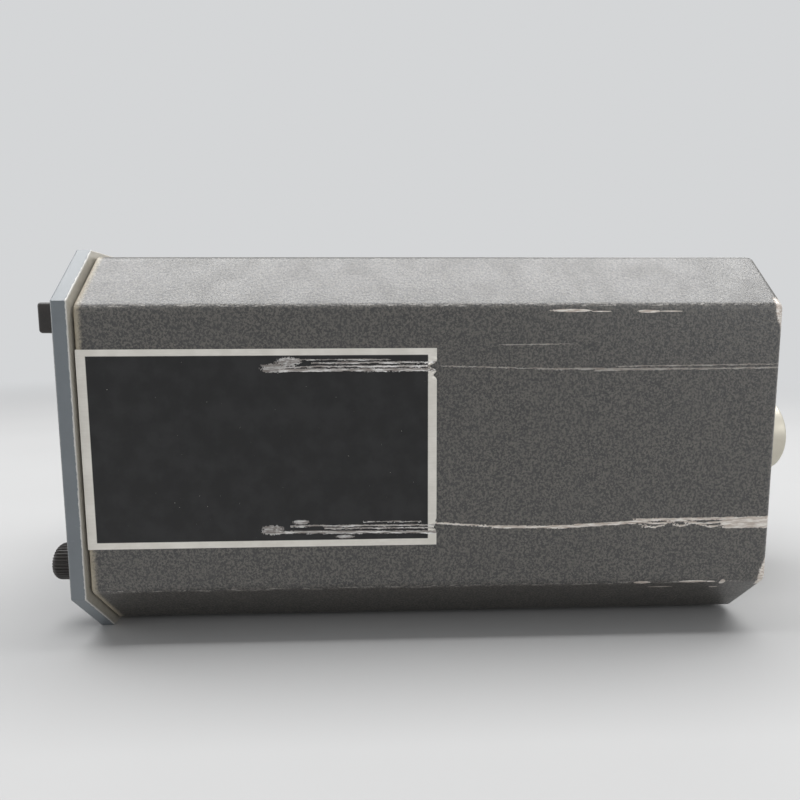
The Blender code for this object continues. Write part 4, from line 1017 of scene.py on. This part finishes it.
class DISPLAY_OT_stage(StepOperator):
    """Lay the pale floor, set the lamps and place the camera"""

    bl_idname = "display.stage"
    bl_label = "Floor, lamps and camera"

    def build(self):
        scene = bpy.context.scene
        scene.view_settings.view_transform = "Standard"
        self.floor()
        self.world(scene)
        centre = Vector((0, (CAD_BOX[0][1] + CAD_BOX[1][1]) / 2, CENTRE_Z))
        self.lamp("overhead_softbox", centre + Vector((-0.06, 0, 0.75)), centre, (1.5, 0.42), 10.5)
        self.lamp("side_softbox", centre + Vector((0.75, 0.65, 0.35)), centre, (0.5, 0.5), 1.0)
        self.lamp("front_softbox", centre + Vector((0.25, -0.9, 0.3)), centre, (0.5, 0.5), 1.6)
        self.lamp("back_softbox", centre + Vector((-0.8, 0.5, 0.4)), centre, (0.5, 0.5), 1.6)
        self.camera(scene)

    def floor(self):
        """A flat square sheet, far wider than the view: a grid of points at height nought."""
        reach = np.linspace(-6, 6, 13)
        across, along = np.meshgrid(reach, reach)
        corners = np.stack([across, along, 0 * across], axis=-1)
        sheet = put_mesh("floor", corners.reshape(-1, 3), grid_faces(len(reach), len(reach), False)[:, ::-1])
        tree = Tree("floor_paper", roughness=0.8, Specular_IOR_Level=0.1)
        place = tree.place()
        grain = tree.noise(place, 0.02, 2.0)
        paper = tree.finish(tree.mix(grain, (0.5, 0.5, 0.5), (0.52, 0.52, 0.52)))
        far = tree.add("ShaderNodeVectorMath", {"operation": "LENGTH"}, [place], output="Value")
        seen = ("Is Camera Ray", "Is Glossy Ray", "Is Transmission Ray")
        rays = [tree.add("ShaderNodeLightPath", output=ray) for ray in seen]
        glow = tree.add("ShaderNodeEmission", None, {"Color": BACKDROP, "Strength": 1})
        fade = tree.step(far, 260, 900) * tree.most(*rays)
        tree.cover(fade, glow)
        sheet.data.materials.append(paper)

    def world(self, scene):
        world = bpy.data.worlds.new("studio")
        world.use_nodes = True
        nodes, links = world.node_tree.nodes, world.node_tree.links
        background = nodes["Background"]
        background.inputs["Color"].default_value = BACKDROP
        path = nodes.new("ShaderNodeLightPath")
        seen = path.outputs["Is Camera Ray"]
        for ray in ("Is Glossy Ray", "Is Transmission Ray"):
            either = nodes.new("ShaderNodeMath")
            either.operation = "MAXIMUM"
            links.new(seen, either.inputs[0])
            links.new(path.outputs[ray], either.inputs[1])
            seen = either.outputs[0]
        strength = nodes.new("ShaderNodeMapRange")
        strength.inputs["To Min"].default_value = 0.5
        strength.inputs["To Max"].default_value = 1.0
        links.new(seen, strength.inputs["Value"])
        links.new(strength.outputs[0], background.inputs["Strength"])
        scene.world = world

    def lamp(self, name, at, target, size, power):
        """A softbox that points at the target: size is its width and its length, power is in watts."""
        light = bpy.data.lights.new(name, "AREA")
        light.shape = "RECTANGLE"
        light.size, light.size_y = size
        light.energy = power
        lamp = bpy.data.objects.new(name, light)
        lamp.location = at
        down = (at - target).normalized()
        long_side = Vector((0, 1, 0)) if abs(down.z) > 0.9 else Vector((0, 0, 1)).cross(down).normalized()
        across = down.cross(long_side).normalized()
        lamp.rotation_euler = Matrix((across.cross(down), across, down)).transposed().to_euler()
        bpy.context.scene.collection.objects.link(lamp)

    def camera(self, scene):
        """Level with the upper half of the case, close in on the plate side, turned a little to the back."""
        camera = bpy.data.objects.new("camera", bpy.data.cameras.new("camera"))
        camera.data.sensor_width = 36
        camera.data.lens = 25.47
        camera.data.clip_start = 0.005
        camera.location = (154.33 * MM, FRONT_Y + 64.07 * MM, CENTRE_Z + 23.02 * MM)
        yaw, pitch, roll = 0.0321, -0.1108, -0.0043
        base = Matrix(((0, 0, 1), (1, 0, 0), (0, 1, 0)))
        turn = Matrix.Rotation(-yaw, 3, "Z") @ base
        turn = turn @ Matrix.Rotation(pitch, 3, "X") @ Matrix.Rotation(roll, 3, "Z")
        camera.rotation_euler = turn.to_euler()
        scene.collection.objects.link(camera)
        scene.camera = camera


STEPS = (
    DISPLAY_OT_case,
    DISPLAY_OT_data_plate,
    DISPLAY_OT_bezel,
    DISPLAY_OT_window,
    DISPLAY_OT_annunciators,
    DISPLAY_OT_button,
    DISPLAY_OT_knob,
    DISPLAY_OT_receptacle,
    DISPLAY_OT_hardware,
    DISPLAY_OT_electronics,
    DISPLAY_OT_stage,
)


class DISPLAY_PT_panel(bpy.types.Panel):
    """Lists the steps, sizes and colours in the sidebar"""

    bl_idname = "DISPLAY_PT_panel"
    bl_label = "Panel navigation display"
    bl_space_type = "VIEW_3D"
    bl_region_type = "UI"
    bl_category = "Display"

    def draw(self, context):
        layout = self.layout
        for step in STEPS:
            layout.operator(step.bl_idname)
        for group in (context.scene.display_sizes, context.scene.display_colours):
            box = layout.box()
            for name in group.bl_rna.properties.keys():
                if name not in {"rna_type", "name"}:
                    box.prop(group, name)


CLASSES = (DisplaySizes, DisplayColours, *STEPS, DISPLAY_PT_panel)


def register():
    for kind in CLASSES:
        bpy.utils.register_class(kind)
    bpy.types.Scene.display_sizes = bpy.props.PointerProperty(type=DisplaySizes)
    bpy.types.Scene.display_colours = bpy.props.PointerProperty(type=DisplayColours)


def unregister():
    del bpy.types.Scene.display_colours
    del bpy.types.Scene.display_sizes
    for kind in reversed(CLASSES):
        bpy.utils.unregister_class(kind)


def main():
    register()
    for step in STEPS:
        group, name = step.bl_idname.split(".")
        getattr(getattr(bpy.ops, group), name)()


if __name__ == "__main__":
    main()
